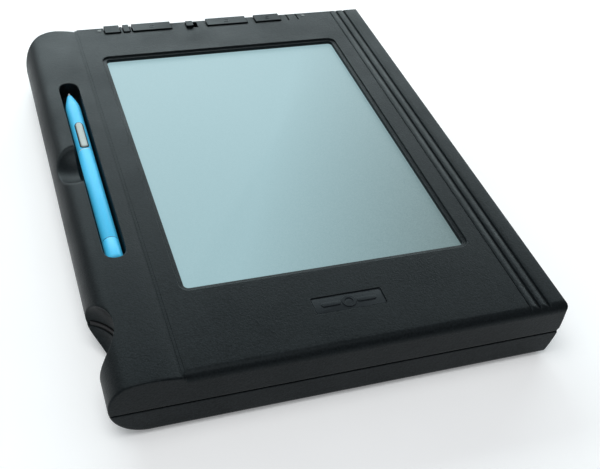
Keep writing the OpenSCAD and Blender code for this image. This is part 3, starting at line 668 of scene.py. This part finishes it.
def lower_case():
    """The lower half: belly, floor with screw holes, and the opening for the battery hatch."""
    section = lower_section().level(LOWER_EDGE, -76, 90)
    section.end_top = FOOT + UNDER_R
    steps = [(0.05, 0.02), (0.2, 0.1), (0.3, 0.4)]
    r = SCREW_HOLE_R
    holes = [Opening(np.array(p) - r, np.array(p) + r, r, HOLE_MARGIN, steps, FOOT + 2.7) for p in SCREWS]
    around = np.linspace(-1, 1, 9) * (r + HOLE_MARGIN)
    hole_x = np.concatenate([x + around for x in SCREW_X])
    hole_y = np.concatenate([p[1] + around for p in SCREWS])
    hatch_x = [HATCH_LOW[0] - HATCH_GAP, HATCH_HIGH[0] + HATCH_GAP]
    s = spread(np.concatenate([section.s, section.s_of_x(np.concatenate([hole_x, hatch_x]))]), 5)
    y = spread(np.concatenate([
        y_stops(FRONT, REAR, hole_y, [HATCH_LOW[1] - HATCH_GAP]), SCOOP[1] + np.arange(*SCOOP_SPAN, 0.5),
        np.arange(116, 150, 1.5)]), 4)
    hatch = [(hatch_x[0], hatch_x[1], HATCH_LOW[1] - HATCH_GAP, FOOT + 3.4)]

    def surface(a, b):
        return lip(scooped(swell(section, a, b), SCOOP_R - SCOOP_LIP), LOWER_EDGE)

    skin = case_skin(section, s, y, holes, surface, -1, hatch)
    return walls(skin.piece("lower_case"), SKIN_WALL)


def battery_hatch():
    """A strip of the lower half between its gaps, with a row of cross grooves to push it by."""
    section = lower_section().level(LOWER_EDGE, -76, 90)
    s = spread(section.s_of_x(np.linspace(HATCH_LOW[0], HATCH_HIGH[0], 24)), 2)
    grip = REAR - 40 - 3 * np.arange(5)
    y = spread(np.concatenate([
        [HATCH_LOW[1], HATCH_LOW[1] + 0.3], np.concatenate([g + np.linspace(-1, 1, 7) for g in grip]),
        REAR - np.array([0.55, 0.8, 1.2, 1.7, 2.3, 3, 4])]), 5)

    def sink(px, py, pz):
        across = 1 - smoothstep(np.abs(px - (HATCH_LOW[0] + HATCH_HIGH[0]) / 2), 5.6, 6.6)
        groove = sum(np.exp(-(((py - g) / 0.55) ** 4)) for g in grip)
        return pz + 0.45 * groove * across

    skin = Skin().add(swell(section, *np.meshgrid(s, y), sink), flip=True)
    return walls(skin.piece("battery_hatch"), 1.1)


def seam_band():
    """A dark band that closes the reveal between the two halves from inside; at the finger scoop
    it follows the scoop's own circle."""
    left, right, inset = -114.44, 113.6, 1.5
    corners = [
        (left, FRONT, 2.0, 180), (right, FRONT, 4.0, 270),
        (right, REAR, 4.0, 0), (left, REAR, CORNER_R, 90)]
    loop = []
    for cx, cy, r, a0 in corners:
        mx, my = cx + (r if cx < 0 else -r), cy + (r if cy < 0 else -r)
        loop.append(arc(mx, my, r - inset, a0, a0 + 90, 24))
    side = np.arange(126, -146, -0.8)
    loop.append(np.column_stack([np.full(len(side), left + inset), side]))
    loop = np.concatenate(loop)
    z = np.array([18.4, 18.2, 17.2, 16.2, 15.4, 15.2])
    points = np.stack([np.column_stack([loop, np.full(len(loop), h)]) for h in z])
    flat = points.copy()
    flat[..., 2] = PART
    pushed = scooped(flat, SCOOP_R - SCOOP_LIP + 0.7)
    points[..., :2] = pushed[..., :2]
    return walls(Skin().add(points, wrap=True, flip=True).piece("seam_band"), 1.0)


# ---------------------------------------------------------------------------
# Slabs, turned parts and softened parts


def outline(low, high, r, count=10, side=6):
    """Core points and outward directions round a rounded rectangle, anticlockwise: count points on
    each corner arc and side points on each straight."""
    low, high = np.array(low, float), np.array(high, float)
    a, b = low + r, high - r
    cores, aways = [], []
    for k, (cx, cy) in enumerate([(b[0], a[1]), (b[0], b[1]), (a[0], b[1]), (a[0], a[1])]):
        turn = np.radians(np.linspace(270 + 90 * k, 360 + 90 * k, count))
        cores.append(np.tile([cx, cy], (count, 1)))
        aways.append(np.column_stack([np.cos(turn), np.sin(turn)]))
    return np.concatenate(cores), np.concatenate(aways)


def slab(skin, low, high, r, profile, count=10):
    """A solid with a rounded-rectangle outline: profile gives (inset, height) from its lower face
    to its upper one, and a flat face closes each end."""
    core, away = outline(low, high, r, count)
    rows = [np.column_stack([core + away * (r - e), np.full(len(core), z)]) for e, z in profile]
    skin.add(np.array(rows), wrap=True)
    skin.fan(rows[0], flip=True)
    skin.fan(rows[-1])
    return skin


def soft_edge(inset, height, r, n=5, up=True):
    """(inset, height) pairs of a quarter-circle edge of radius r that ends flat at height."""
    a = np.radians(np.linspace(0, 90, n))
    z = height - r + r * np.sin(a) if up else height + r - r * np.sin(a)
    pairs = list(zip(inset + r - r * np.cos(a), z))
    return pairs if up else pairs[::-1]


def turned(name, profile, around=72):
    """A part of the pen: (y, radius) pairs turned about its axis, closed at both ends."""
    y, r = np.array(profile, float).T
    a = np.linspace(0, 2 * np.pi, around, endpoint=False)
    x = PEN_X + r[:, None] * np.cos(a)
    z = PEN_Z + r[:, None] * np.sin(a)
    points = np.stack([x, np.broadcast_to(y[:, None], x.shape), z], -1)
    skin = Skin().add(points, wrap=True)
    if r[0] > 0.01:
        skin.fan(points[0], flip=True)
    if r[-1] > 0.01:
        skin.fan(points[-1])
    return skin.piece(name, normals=True)


def upright(skin, cx, cy, profile, around):
    """Adds (radius, height) pairs turned about the upright line through (cx, cy)."""
    r, z = np.array(profile, float).T[:, :, None]
    a = np.linspace(0, 2 * np.pi, around, endpoint=False)
    x, y = cx + r * np.cos(a), cy + r * np.sin(a)
    return skin.add(np.stack([x, y, np.broadcast_to(z, x.shape)], -1), wrap=True)


def softened(node, edge, segments=3):
    """A merged copy of a CAD node with its flat faces joined up and its edges rounded."""
    source = frame["nodes"][node]
    mesh = source.data.copy()
    mesh.name = node + "_soft"
    bm = bmesh.new()
    bm.from_mesh(mesh)
    bmesh.ops.remove_doubles(bm, verts=bm.verts, dist=0.005 * MM)
    bmesh.ops.dissolve_limit(bm, angle_limit=math.radians(1), verts=bm.verts, edges=bm.edges)
    bmesh.ops.recalc_face_normals(bm, faces=bm.faces)
    bm.to_mesh(mesh)
    bm.free()
    mesh.polygons.foreach_set("use_smooth", np.ones(len(mesh.polygons), bool))
    mesh.set_sharp_from_angle(angle=math.radians(30))
    obj = bpy.data.objects.new(mesh.name, mesh)
    bpy.context.scene.collection.objects.link(obj)
    bevel = obj.modifiers.new("edges", "BEVEL")
    bevel.width = edge * MM
    bevel.segments = segments
    bevel.limit_method = "ANGLE"
    bevel.angle_limit = math.radians(35)
    bevel.harden_normals = True
    return obj


PEN_KEY_LOW, PEN_KEY_HIGH = box_mm("pen_key")
PEN_KEY_R = (PEN_KEY_HIGH[0] - PEN_KEY_LOW[0]) / 2
BUTTON_PROUD = 0.6


def on_pen(x, lift):
    """Height of the pen's round surface, raised by lift, at a place across it."""
    return PEN_Z + np.sqrt(np.maximum((PEN_R + lift) ** 2 - (x - PEN_X) ** 2, 0))


def pen_button():
    """The oblong button: rings inside its outline on a cylinder a little larger than the pen."""
    core, away = outline(PEN_KEY_LOW[:2], PEN_KEY_HIGH[:2], PEN_KEY_R, 16)
    rows = []
    profile = [(0, 2.4), (0, 0.5), (0.08, 0.25), (0.25, 0.08), (0.5, 0), (1.1, 0), (PEN_KEY_R - 0.01, 0)]
    for inset, drop in profile:
        p = core + away * (PEN_KEY_R - inset)
        rows.append(np.column_stack([p, on_pen(p[:, 0], BUTTON_PROUD) - drop]))
    skin = Skin().add(np.array(rows), wrap=True)
    skin.fan(rows[0], flip=True)
    return skin.fan(rows[-1]).piece("pen_button", merge=0.005)


def pen_button_ring():
    """The dark seal round the button, on the pen's surface."""
    core, away = outline(PEN_KEY_LOW[:2], PEN_KEY_HIGH[:2], PEN_KEY_R, 16)
    rows = []
    profile = [
        (0.04, -0.5), (0.04, 0.2), (0.14, 0.28), (0.45, 0.28), (0.6, 0.1), (0.62, -0.5), (0.04, -0.5)]
    for grow, lift in profile:
        p = core + away * (PEN_KEY_R + grow)
        rows.append(np.column_stack([p, on_pen(p[:, 0], lift)]))
    return Skin().add(np.array(rows), wrap=True, flip=True).piece("pen_button_ring", merge=0.005)


def emblem():
    """A thin plate with a ring between two bars in relief."""
    low, high = box_mm("emblem_plate")
    profile = [(0, low[2]), *soft_edge(0, high[2] - 0.25, 0.12)]
    skin = slab(Skin(), low[:2] + 0.05, high[:2] - 0.05, 0.6, profile)
    foot, top = high[2] - 0.3, high[2] + 0.08
    half = np.array([5.0, 1.3])
    for side in (-1, 1):
        middle = BADGE + [side * 9.3, 0]
        slab(skin, middle - half, middle + half, 1.2, [(0, foot), *soft_edge(0, top, 0.16)])
    profile = [
        (3.7, foot), (3.7, top - 0.16), (3.54, top), (2.16, top), (2.0, top - 0.16), (2.0, foot), (3.7, foot)]
    return upright(skin, *BADGE, profile, 72).piece("emblem")


def screen():
    """The display's front plate, with a small polished edge."""
    low, high = box_mm("digitizer_glass")
    profile = [*soft_edge(0, low[2], 0.2, up=False), *soft_edge(0, high[2], 0.2)]
    return slab(Skin(), low[:2], high[:2], 6.5, profile).piece("screen")


MARK_RING = [(1.75, -0.05), (1.72, 0.08), (1.62, 0.16), (1.4, 0.16), (1.3, 0.08), (1.27, -0.05)]
MARK_DOT = [(0.62, -0.05), (0.6, 0.08), (0.5, 0.16), (0.02, 0.17)]


def round_mark(node, dot):
    """A low raised ring on top of a key or door, with a dot in its middle if asked for."""
    low, high = box_mm(node)
    skin = Skin()
    for profile in [MARK_RING] + [MARK_DOT] * dot:
        upright(skin, (low[0] + high[0]) / 2, REAR - 4.6, np.array(profile) + [0, high[2]], 48)
    return skin.piece(node + "_mark", merge=0.002)


FOOT_PROFILE = [
    (0, 1.8), (5.9, 1.8), (6, 1.7), (6, 0.5), (5.85, 0.15), (5.5, 0), (4.4, 0), (4.3, 0.1),
    (4.2, 0.35), (3.9, 0.35), (3.8, 0.1), (3.7, 0), (0.01, 0)]


def feet():
    """Four turned rubber feet with a ring groove."""
    skin = Skin()
    low, high = box_mm("rubber_feet")
    for cx in (low[0] + 6, high[0] - 6):
        for cy in (low[1] + 5.98, high[1] - 5.98):
            upright(skin, cx, cy, FOOT_PROFILE, 64)
    return skin.piece("feet", normals=True)


# ---------------------------------------------------------------------------
# Finishes: every one reads Object coordinates, in metres


class Finish:
    """A material and the few node recipes its pattern is made from."""

    def __init__(self, name, color, rough, **sockets):
        self.material = bpy.data.materials.new(name)
        self.material.use_nodes = True
        self.material.diffuse_color = (*color, 1)
        self.tree = self.material.node_tree
        self.shader = self.tree.nodes["Principled BSDF"]
        self.shader.inputs["Base Color"].default_value = (*color, 1)
        self.shader.inputs["Roughness"].default_value = rough
        for key, value in sockets.items():
            self.shader.inputs[key.replace("_", " ")].default_value = value
        self.place = self.node("ShaderNodeTexCoord").outputs["Object"]

    def node(self, kind, **values):
        """A node with its properties and inputs set by name."""
        made = self.tree.nodes.new(kind)
        for key, value in values.items():
            if hasattr(made, key):
                setattr(made, key, value)
            else:
                made.inputs[key.replace("_", " ")].default_value = value
        return made

    def link(self, a, b):
        self.tree.links.new(a, b)

    def noise(self, size_mm, detail=2.0, stretch=(1, 1, 1)):
        """Noise whose lumps are size_mm across; stretch makes them longer along an axis."""
        mapping = self.node("ShaderNodeMapping")
        mapping.inputs["Scale"].default_value = [1 / k for k in stretch]
        self.link(self.place, mapping.inputs["Vector"])
        made = self.node("ShaderNodeTexNoise", Scale=1 / (size_mm * MM), Detail=detail, Roughness=0.6)
        self.link(mapping.outputs[0], made.inputs["Vector"])
        return made.outputs["Fac"]

    def spread(self, value, low, high, out_low, out_high):
        """A value carried from one range to another, held at its ends."""
        made = self.node("ShaderNodeMapRange")
        self.link(value, made.inputs["Value"])
        limits = {"From Min": low, "From Max": high, "To Min": out_low, "To Max": out_high}
        for key, number in limits.items():
            made.inputs[key].default_value = number
        return made.outputs["Result"]

    def blend(self, factor, a, b):
        """A colour between a and b; either one is a colour or another node's output."""
        made = self.node("ShaderNodeMix", data_type="RGBA")
        self.link(factor, made.inputs[0])
        for socket, value in ((made.inputs[6], a), (made.inputs[7], b)):
            if isinstance(value, tuple):
                socket.default_value = (*value, 1)
            else:
                self.link(value, socket)
        return made.outputs[2]

    def paint(self, color):
        self.link(color, self.shader.inputs["Base Color"])
        return self

    def vary(self, value):
        self.link(value, self.shader.inputs["Roughness"])
        return self

    def emboss(self, *layers):
        """Relief from (pattern, height in mm) pairs, one over the other."""
        normal = None
        for pattern, height in layers:
            made = self.node("ShaderNodeBump", Strength=1.0, Distance=height * MM)
            self.link(pattern, made.inputs["Height"])
            if normal is not None:
                self.link(normal, made.inputs["Normal"])
            normal = made.outputs["Normal"]
        self.link(normal, self.shader.inputs["Normal"])
        return self


def shade(color, k):
    return tuple(min(c * k, 1.0) for c in color)


def moulded(name, color, rough, grain=0.55, depth=0.02, speckle=0.35, swing=0.06, **sockets):
    """Moulded plastic: a spark-eroded grain, a speckle of colour on it and slow changes of gloss."""
    f = Finish(name, color, rough, **sockets)
    fine, broad = f.noise(grain, 3.0), f.noise(35, 2.0)
    f.paint(f.blend(f.spread(fine, 0.3, 0.7, 0, 1), shade(color, 1 - speckle), shade(color, 1 + speckle)))
    f.vary(f.spread(broad, 0.3, 0.7, rough - swing, rough + swing))
    return f.emboss((fine, depth)).material


def drawn_metal(name, color, rough, stretch=(1, 12, 1), depth=0.004, dull=0.15):
    """Rolled or brushed metal: long streaks in gloss and relief, and dull patches."""
    f = Finish(name, color, rough, Metallic=1.0)
    streak, patch = f.noise(0.5, 2.0, stretch), f.noise(9, 3.0)
    f.paint(f.blend(f.spread(patch, 0.35, 0.7, 0, 1), shade(color, 1 - dull), color))
    f.vary(f.spread(streak, 0.3, 0.7, rough * 0.75, rough * 1.3))
    return f.emboss((streak, depth)).material


def circuit_board(name):
    """Green lacquer over copper tracks: two brick patterns set across each other."""
    f = Finish(name, (0.01, 0.12, 0.05), 0.35, Coat_Weight=0.4)
    tracks = []
    for turn in (0, math.pi / 2):
        mapping = f.node("ShaderNodeMapping")
        mapping.inputs["Rotation"].default_value[2] = turn
        f.link(f.place, mapping.inputs["Vector"])
        brick = f.node("ShaderNodeTexBrick", Scale=1.0, offset=0.37, squash=0.6)
        for key, value in (("Mortar Size", 0.00018), ("Brick Width", 0.0071), ("Row Height", 0.0013)):
            brick.inputs[key].default_value = value
        f.link(mapping.outputs[0], brick.inputs["Vector"])
        tracks.append(brick.outputs["Fac"])
    both = f.node("ShaderNodeMath", operation="MAXIMUM")
    for k, track in enumerate(tracks):
        f.link(track, both.inputs[k])
    tone = f.blend(f.spread(f.noise(6), 0.3, 0.7, 0, 1), (0.008, 0.1, 0.04), (0.014, 0.15, 0.06))
    f.paint(f.blend(both.outputs[0], tone, (0.03, 0.3, 0.12)))
    return f.emboss((both.outputs[0], 0.03)).material


def display_face(name):
    """The display under its matt front, glowing by itself: painted light, as the real display is passive and
    gives off none. The glow is even over most of its area and falls off towards the front corner on the
    ribbed side, a painted shade that stands for a reflection's edge, with a fine grain of cells."""
    f = Finish(name, (0.05, 0.08, 0.085), 0.42, Specular_IOR_Level=0.12, Emission_Strength=SCREEN_PAINTED_GLOW)
    # Painted shade: the glow falls off towards the front corner on the ribbed side, where a reflection's edge
    # lies.
    across = f.node("ShaderNodeVectorMath", operation="DOT_PRODUCT")
    f.link(f.place, across.inputs[0])
    across.inputs[1].default_value = (0.894, -0.447, 0)
    fall = f.spread(across.outputs["Value"], 0.004, 0.108, 0, 1)
    base = f.blend(fall, (0.392, 0.590, 0.635), (0.150, 0.212, 0.214))
    cells = f.noise(0.5, 2.0)
    # Colour of the painted glow: the painted fall-off with a fine grain of cells.
    painted_glow = f.blend(f.spread(cells, 0.3, 0.7, 0, 0.12), base, (0.62, 0.8, 0.84))
    f.link(painted_glow, f.shader.inputs["Emission Color"])
    f.paint(f.blend(f.spread(cells, 0.3, 0.7, 0, 1), (0.04, 0.065, 0.07), (0.06, 0.085, 0.09)))
    f.vary(f.spread(cells, 0.3, 0.7, 0.38, 0.46))
    return f.emboss((cells, 0.002)).material


# Strength of the display's painted glow; the real display gives off no light.
SCREEN_PAINTED_GLOW = 0.75
CHARCOAL = (0.0046, 0.0058, 0.0066)
CASE_SHEEN = {"Specular_IOR_Level": 0.16, "Specular_Tint": (0.8, 0.95, 1.0, 1)}
FINISHES = {
    "upper_case": moulded(
        "charcoal_case", CHARCOAL, 0.42, grain=0.9, depth=0.12, speckle=0.7, **CASE_SHEEN),
    "lower_case": moulded(
        "charcoal_base", shade(CHARCOAL, 1.3), 0.48, grain=0.9, depth=0.12, speckle=0.7, **CASE_SHEEN),
    "key_plastic": moulded(
        "key_plastic", shade(CHARCOAL, 1.2), 0.42, grain=0.5, depth=0.04, speckle=0.5, **CASE_SHEEN),
    "black_rubber": moulded(
        "black_rubber", (0.010, 0.010, 0.011), 0.7, grain=0.9, depth=0.02, speckle=0.3),
    "display_glass": display_face("display_face"),
    "display_face": moulded("panel_film", (0.35, 0.5, 0.52), 0.35, grain=0.4, depth=0.001, speckle=0.05),
    "light_guide_plastic": moulded(
        "light_guide", (0.75, 0.8, 0.82), 0.2, grain=1.2, depth=0.004, speckle=0.04),
    "sheet_steel": drawn_metal("sheet_steel", (0.52, 0.53, 0.54), 0.36),
    "circuit_board": circuit_board("circuit_board"),
    "chip_plastic": moulded(
        "chip_plastic", (0.02, 0.02, 0.021), 0.5, grain=0.3, depth=0.006, speckle=0.3),
    "cast_aluminium": drawn_metal("cast_aluminium", (0.58, 0.59, 0.6), 0.48, (1, 1, 1), 0.02),
    "steel_parts": drawn_metal("steel_parts", (0.5, 0.5, 0.5), 0.3, (1, 1, 6)),
    "battery_sleeve": moulded(
        "battery_sleeve", (0.05, 0.12, 0.4), 0.3, grain=2.5, depth=0.01, speckle=0.1, Coat_Weight=0.5),
    "light_lens": moulded("light_lens", (0.012, 0.016, 0.014), 0.35, grain=0.5, depth=0.002, speckle=0.2),
    "emblem_plastic": moulded(
        "emblem_satin", (0.011, 0.013, 0.015), 0.36, grain=0.35, depth=0.02, speckle=0.3, **CASE_SHEEN),
    # The pen's blue gives off a little light of its own: painted light, since the real pen gives none.
    "pen_blue": moulded(
        "pen_blue", (0.05, 0.52, 0.86), 0.5, grain=0.4, depth=0.02, speckle=0.08,
        Emission_Color=(0.1, 0.55, 0.8, 1), Emission_Strength=0.12),
    "pen_blue_dark": moulded(
        "pen_blue_dark", (0.008, 0.09, 0.19), 0.36, grain=0.35, depth=0.006, speckle=0.15),
    "pen_pale": moulded("pen_pale", (0.55, 0.62, 0.64), 0.4, grain=0.4, depth=0.004, speckle=0.06),
    "pen_grey": moulded("pen_grey", (0.42, 0.47, 0.45), 0.42, grain=0.3, depth=0.006, speckle=0.1),
    "ribbon_film": moulded(
        "ribbon_film", (0.45, 0.25, 0.06), 0.25, grain=1.4, depth=0.004, speckle=0.08, Coat_Weight=0.5),
}

for part in frame["record"]["subparts"]:
    node = frame["nodes"][part["node"]]
    node.data.materials.clear()
    node.data.materials.append(FINISHES[part["material_slot"]])


def place(obj, body, slot, *nodes):
    """Dresses a piece in its slot's finish."""
    return dress(obj, FINISHES[slot], body, slot, *nodes)


# ---------------------------------------------------------------------------
# The pieces

place(upper_case(), "case", "upper_case", "top_shell")
place(lower_case(), "case", "lower_case", "bottom_shell")
place(seam_band(), "case", "black_rubber")
place(battery_hatch(), "battery_door", "lower_case", "battery_door")
place(screen(), "case", "display_glass", "digitizer_glass")
place(emblem(), "case", "emblem_plastic", "emblem_plate")
place(feet(), "case", "black_rubber", "rubber_feet")

KEY_EDGE = 0.35
for name in KEYS + DOORS + ["power_slide"]:
    place(softened(name, KEY_EDGE), name, "key_plastic", name)
for name, dot in (("wide_port_door", False), ("wide_key", False), ("middle_key", True)):
    place(round_mark(name, dot), name, "emblem_plastic")

TAIL_Y = PEN_LOW[1]
NIB_Y = PEN_HIGH[1]
CAP_Y, SEAM_Y = box_mm("pen_barrel")[0][1], box_mm("pen_barrel")[1][1]
TAPER_L = 13.0
TAPER_Y = box_mm("pen_grip")[1][1] - TAPER_L
NOSE_Y = TAPER_Y + TAPER_L
NOSE_R = 1.55
R = PEN_R
ALONG = np.linspace(0, 1, 20)

# Each part of the pen: name, finish, CAD nodes, the y that its profile starts from, and the
# profile as (distance along y, radius) pairs.
PEN_PARTS = [
    ("pen_cap", "pen_blue", ["pen_tail_cap"], TAIL_Y, [
        (0.15, 1.1), (0, 1.35), (0, 2.9), (0.12, 3.4), (0.45, 3.85), (1.0, 4.12), (1.8, R),
        (CAP_Y - TAIL_Y - 0.75, R), (CAP_Y - TAIL_Y - 0.6, R - 0.08), (CAP_Y - TAIL_Y - 0.5, R - 0.3)]),
    ("pen_cap_seam", "pen_blue_dark", [], CAP_Y, [
        (-0.62, R - 0.5), (-0.55, R - 0.12), (-0.15, R - 0.12), (-0.08, R - 0.5)]),
    ("pen_barrel_sleeve", "pen_blue", ["pen_barrel"], CAP_Y, [
        (-0.5, R - 0.32), (-0.2, R - 0.32), (-0.1, R - 0.1), (0.1, R), (SEAM_Y - CAP_Y - 0.25, R),
        (SEAM_Y - CAP_Y - 0.08, R - 0.06), (SEAM_Y - CAP_Y, R - 0.22)]),
    ("pen_grip_sleeve", "pen_blue", ["pen_grip"], TAPER_Y, [
        (SEAM_Y - TAPER_Y + 0.5, R - 0.22), (SEAM_Y - TAPER_Y + 0.58, R - 0.06),
        (SEAM_Y - TAPER_Y + 0.75, R),
        *[(TAPER_L * k, R - (R - NOSE_R) * k**1.25) for k in ALONG], (TAPER_L, 0.85)]),
    ("pen_seam", "pen_pale", ["pen_seam_ring"], SEAM_Y, [
        (-0.05, R - 0.5), (0.02, R - 0.14), (0.48, R - 0.14), (0.55, R - 0.5)]),
    ("pen_tip", "pen_pale", ["pen_nib"], NIB_Y, [
        (NOSE_Y - NIB_Y - 0.4, 0.8), (NOSE_Y - NIB_Y + 1.6, 0.8), (-0.7, 0.72), (-0.3, 0.55),
        (-0.08, 0.28), (0, 0.08)]),
    ("pen_end_cup", "pen_blue_dark", [], TAIL_Y, [
        (0.9, 3.0), (0, 3.02), (0, 2.7), (0.25, 2.45), (0.3, 1.1), (1.2, 0.5)]),
    ("pen_end_dot", "pen_pale", ["pen_tail_plug"], TAIL_Y, [
        (0.1, 0.1), (0.1, 0.75), (0.2, 0.9), (1.2, 0.9)]),
]
for name, slot, nodes, start, profile in PEN_PARTS:
    place(turned(name, np.array(profile) + [start, 0]), "pen", slot, *nodes)
place(pen_button(), "pen_key", "pen_grey", "pen_key")
place(pen_button_ring(), "pen", "black_rubber")


# ---------------------------------------------------------------------------
# Floor, light and camera

FLOOR_GLOW = 0.2


def floor():
    """A pale floor, as a grid that is a little denser near the object."""
    reach = np.linspace(-1, 1, 41)
    steps = np.sign(reach) * np.abs(reach) ** 1.5 * 4000
    x, y = np.meshgrid(steps, steps)
    obj = Skin().add(np.stack([x, y, np.zeros_like(x)], -1)).piece("floor")
    glow = {"Emission_Color": (1, 1, 1, 1), "Emission_Strength": FLOOR_GLOW}
    f = Finish("pale_floor", (0.9, 0.9, 0.9), 0.8, **glow)
    f.paint(f.blend(f.spread(f.noise(60), 0.3, 0.7, 0, 1), (0.89, 0.89, 0.89), (0.91, 0.91, 0.91)))
    obj.data.materials.append(f.material)


def soft_light(name, place_at, aim, size, power, color=(1, 1, 1)):
    """A rectangular area lamp at a place, turned to face a point, in metres."""
    data = bpy.data.lights.new(name, "AREA")
    data.shape = "RECTANGLE"
    data.size, data.size_y = size
    data.energy = power
    data.color = color
    lamp = bpy.data.objects.new(name, data)
    at, to = np.array(place_at, float), np.array(aim, float)
    ahead = (to - at) / np.linalg.norm(to - at)
    side = np.cross(ahead, [0, 0, 1])
    side /= np.linalg.norm(side)
    lamp.matrix_world = frame_matrix(side, np.cross(side, ahead), ahead, at)
    bpy.context.scene.collection.objects.link(lamp)


def frame_matrix(right, up, ahead, at):
    """A matrix whose axes are right, up and backwards, at a point."""
    m = Matrix.Identity(4)
    for column, axis in enumerate((right, up, -np.asarray(ahead))):
        for row in range(3):
            m[row][column] = float(axis[row])
    for row in range(3):
        m[row][3] = float(at[row])
    return m


DAYLIGHT = (0.86, 0.98, 1.0)
floor()
soft_light("rear_window", (-0.15, 1.55, 0.78), (0.0, 0.05, 0.0), (1.7, 0.7), 21, DAYLIGHT)
soft_light("right_window", (1.15, 1.25, 0.62), (0.1, 0.0, 0.0), (1.0, 0.6), 8.5, DAYLIGHT)
soft_light("overhead", (-0.45, -0.35, 2.1), (0.0, 0.0, 0.0), (1.6, 1.2), 24)

bpy.context.scene.view_settings.view_transform = "Standard"

world = bpy.data.worlds.new("studio")
world.use_nodes = True
world.node_tree.nodes["Background"].inputs["Color"].default_value = (0.86, 0.94, 1.0, 1)
world.node_tree.nodes["Background"].inputs["Strength"].default_value = 0.25
bpy.context.scene.world = world

camera_data = bpy.data.cameras.new("camera")
camera_data.sensor_width = 36.0
camera_data.lens = 59.66
camera_data.clip_start = 0.01
camera = bpy.data.objects.new("camera", camera_data)
camera.matrix_world = frame_matrix(
    (0.94329, -0.31643, 0.10033), (0.13872, 0.65034, 0.74687), (0.30159, 0.69060, -0.65736),
    (-0.15595, -0.42598, 0.37273))
bpy.context.scene.collection.objects.link(camera)
bpy.context.scene.camera = camera
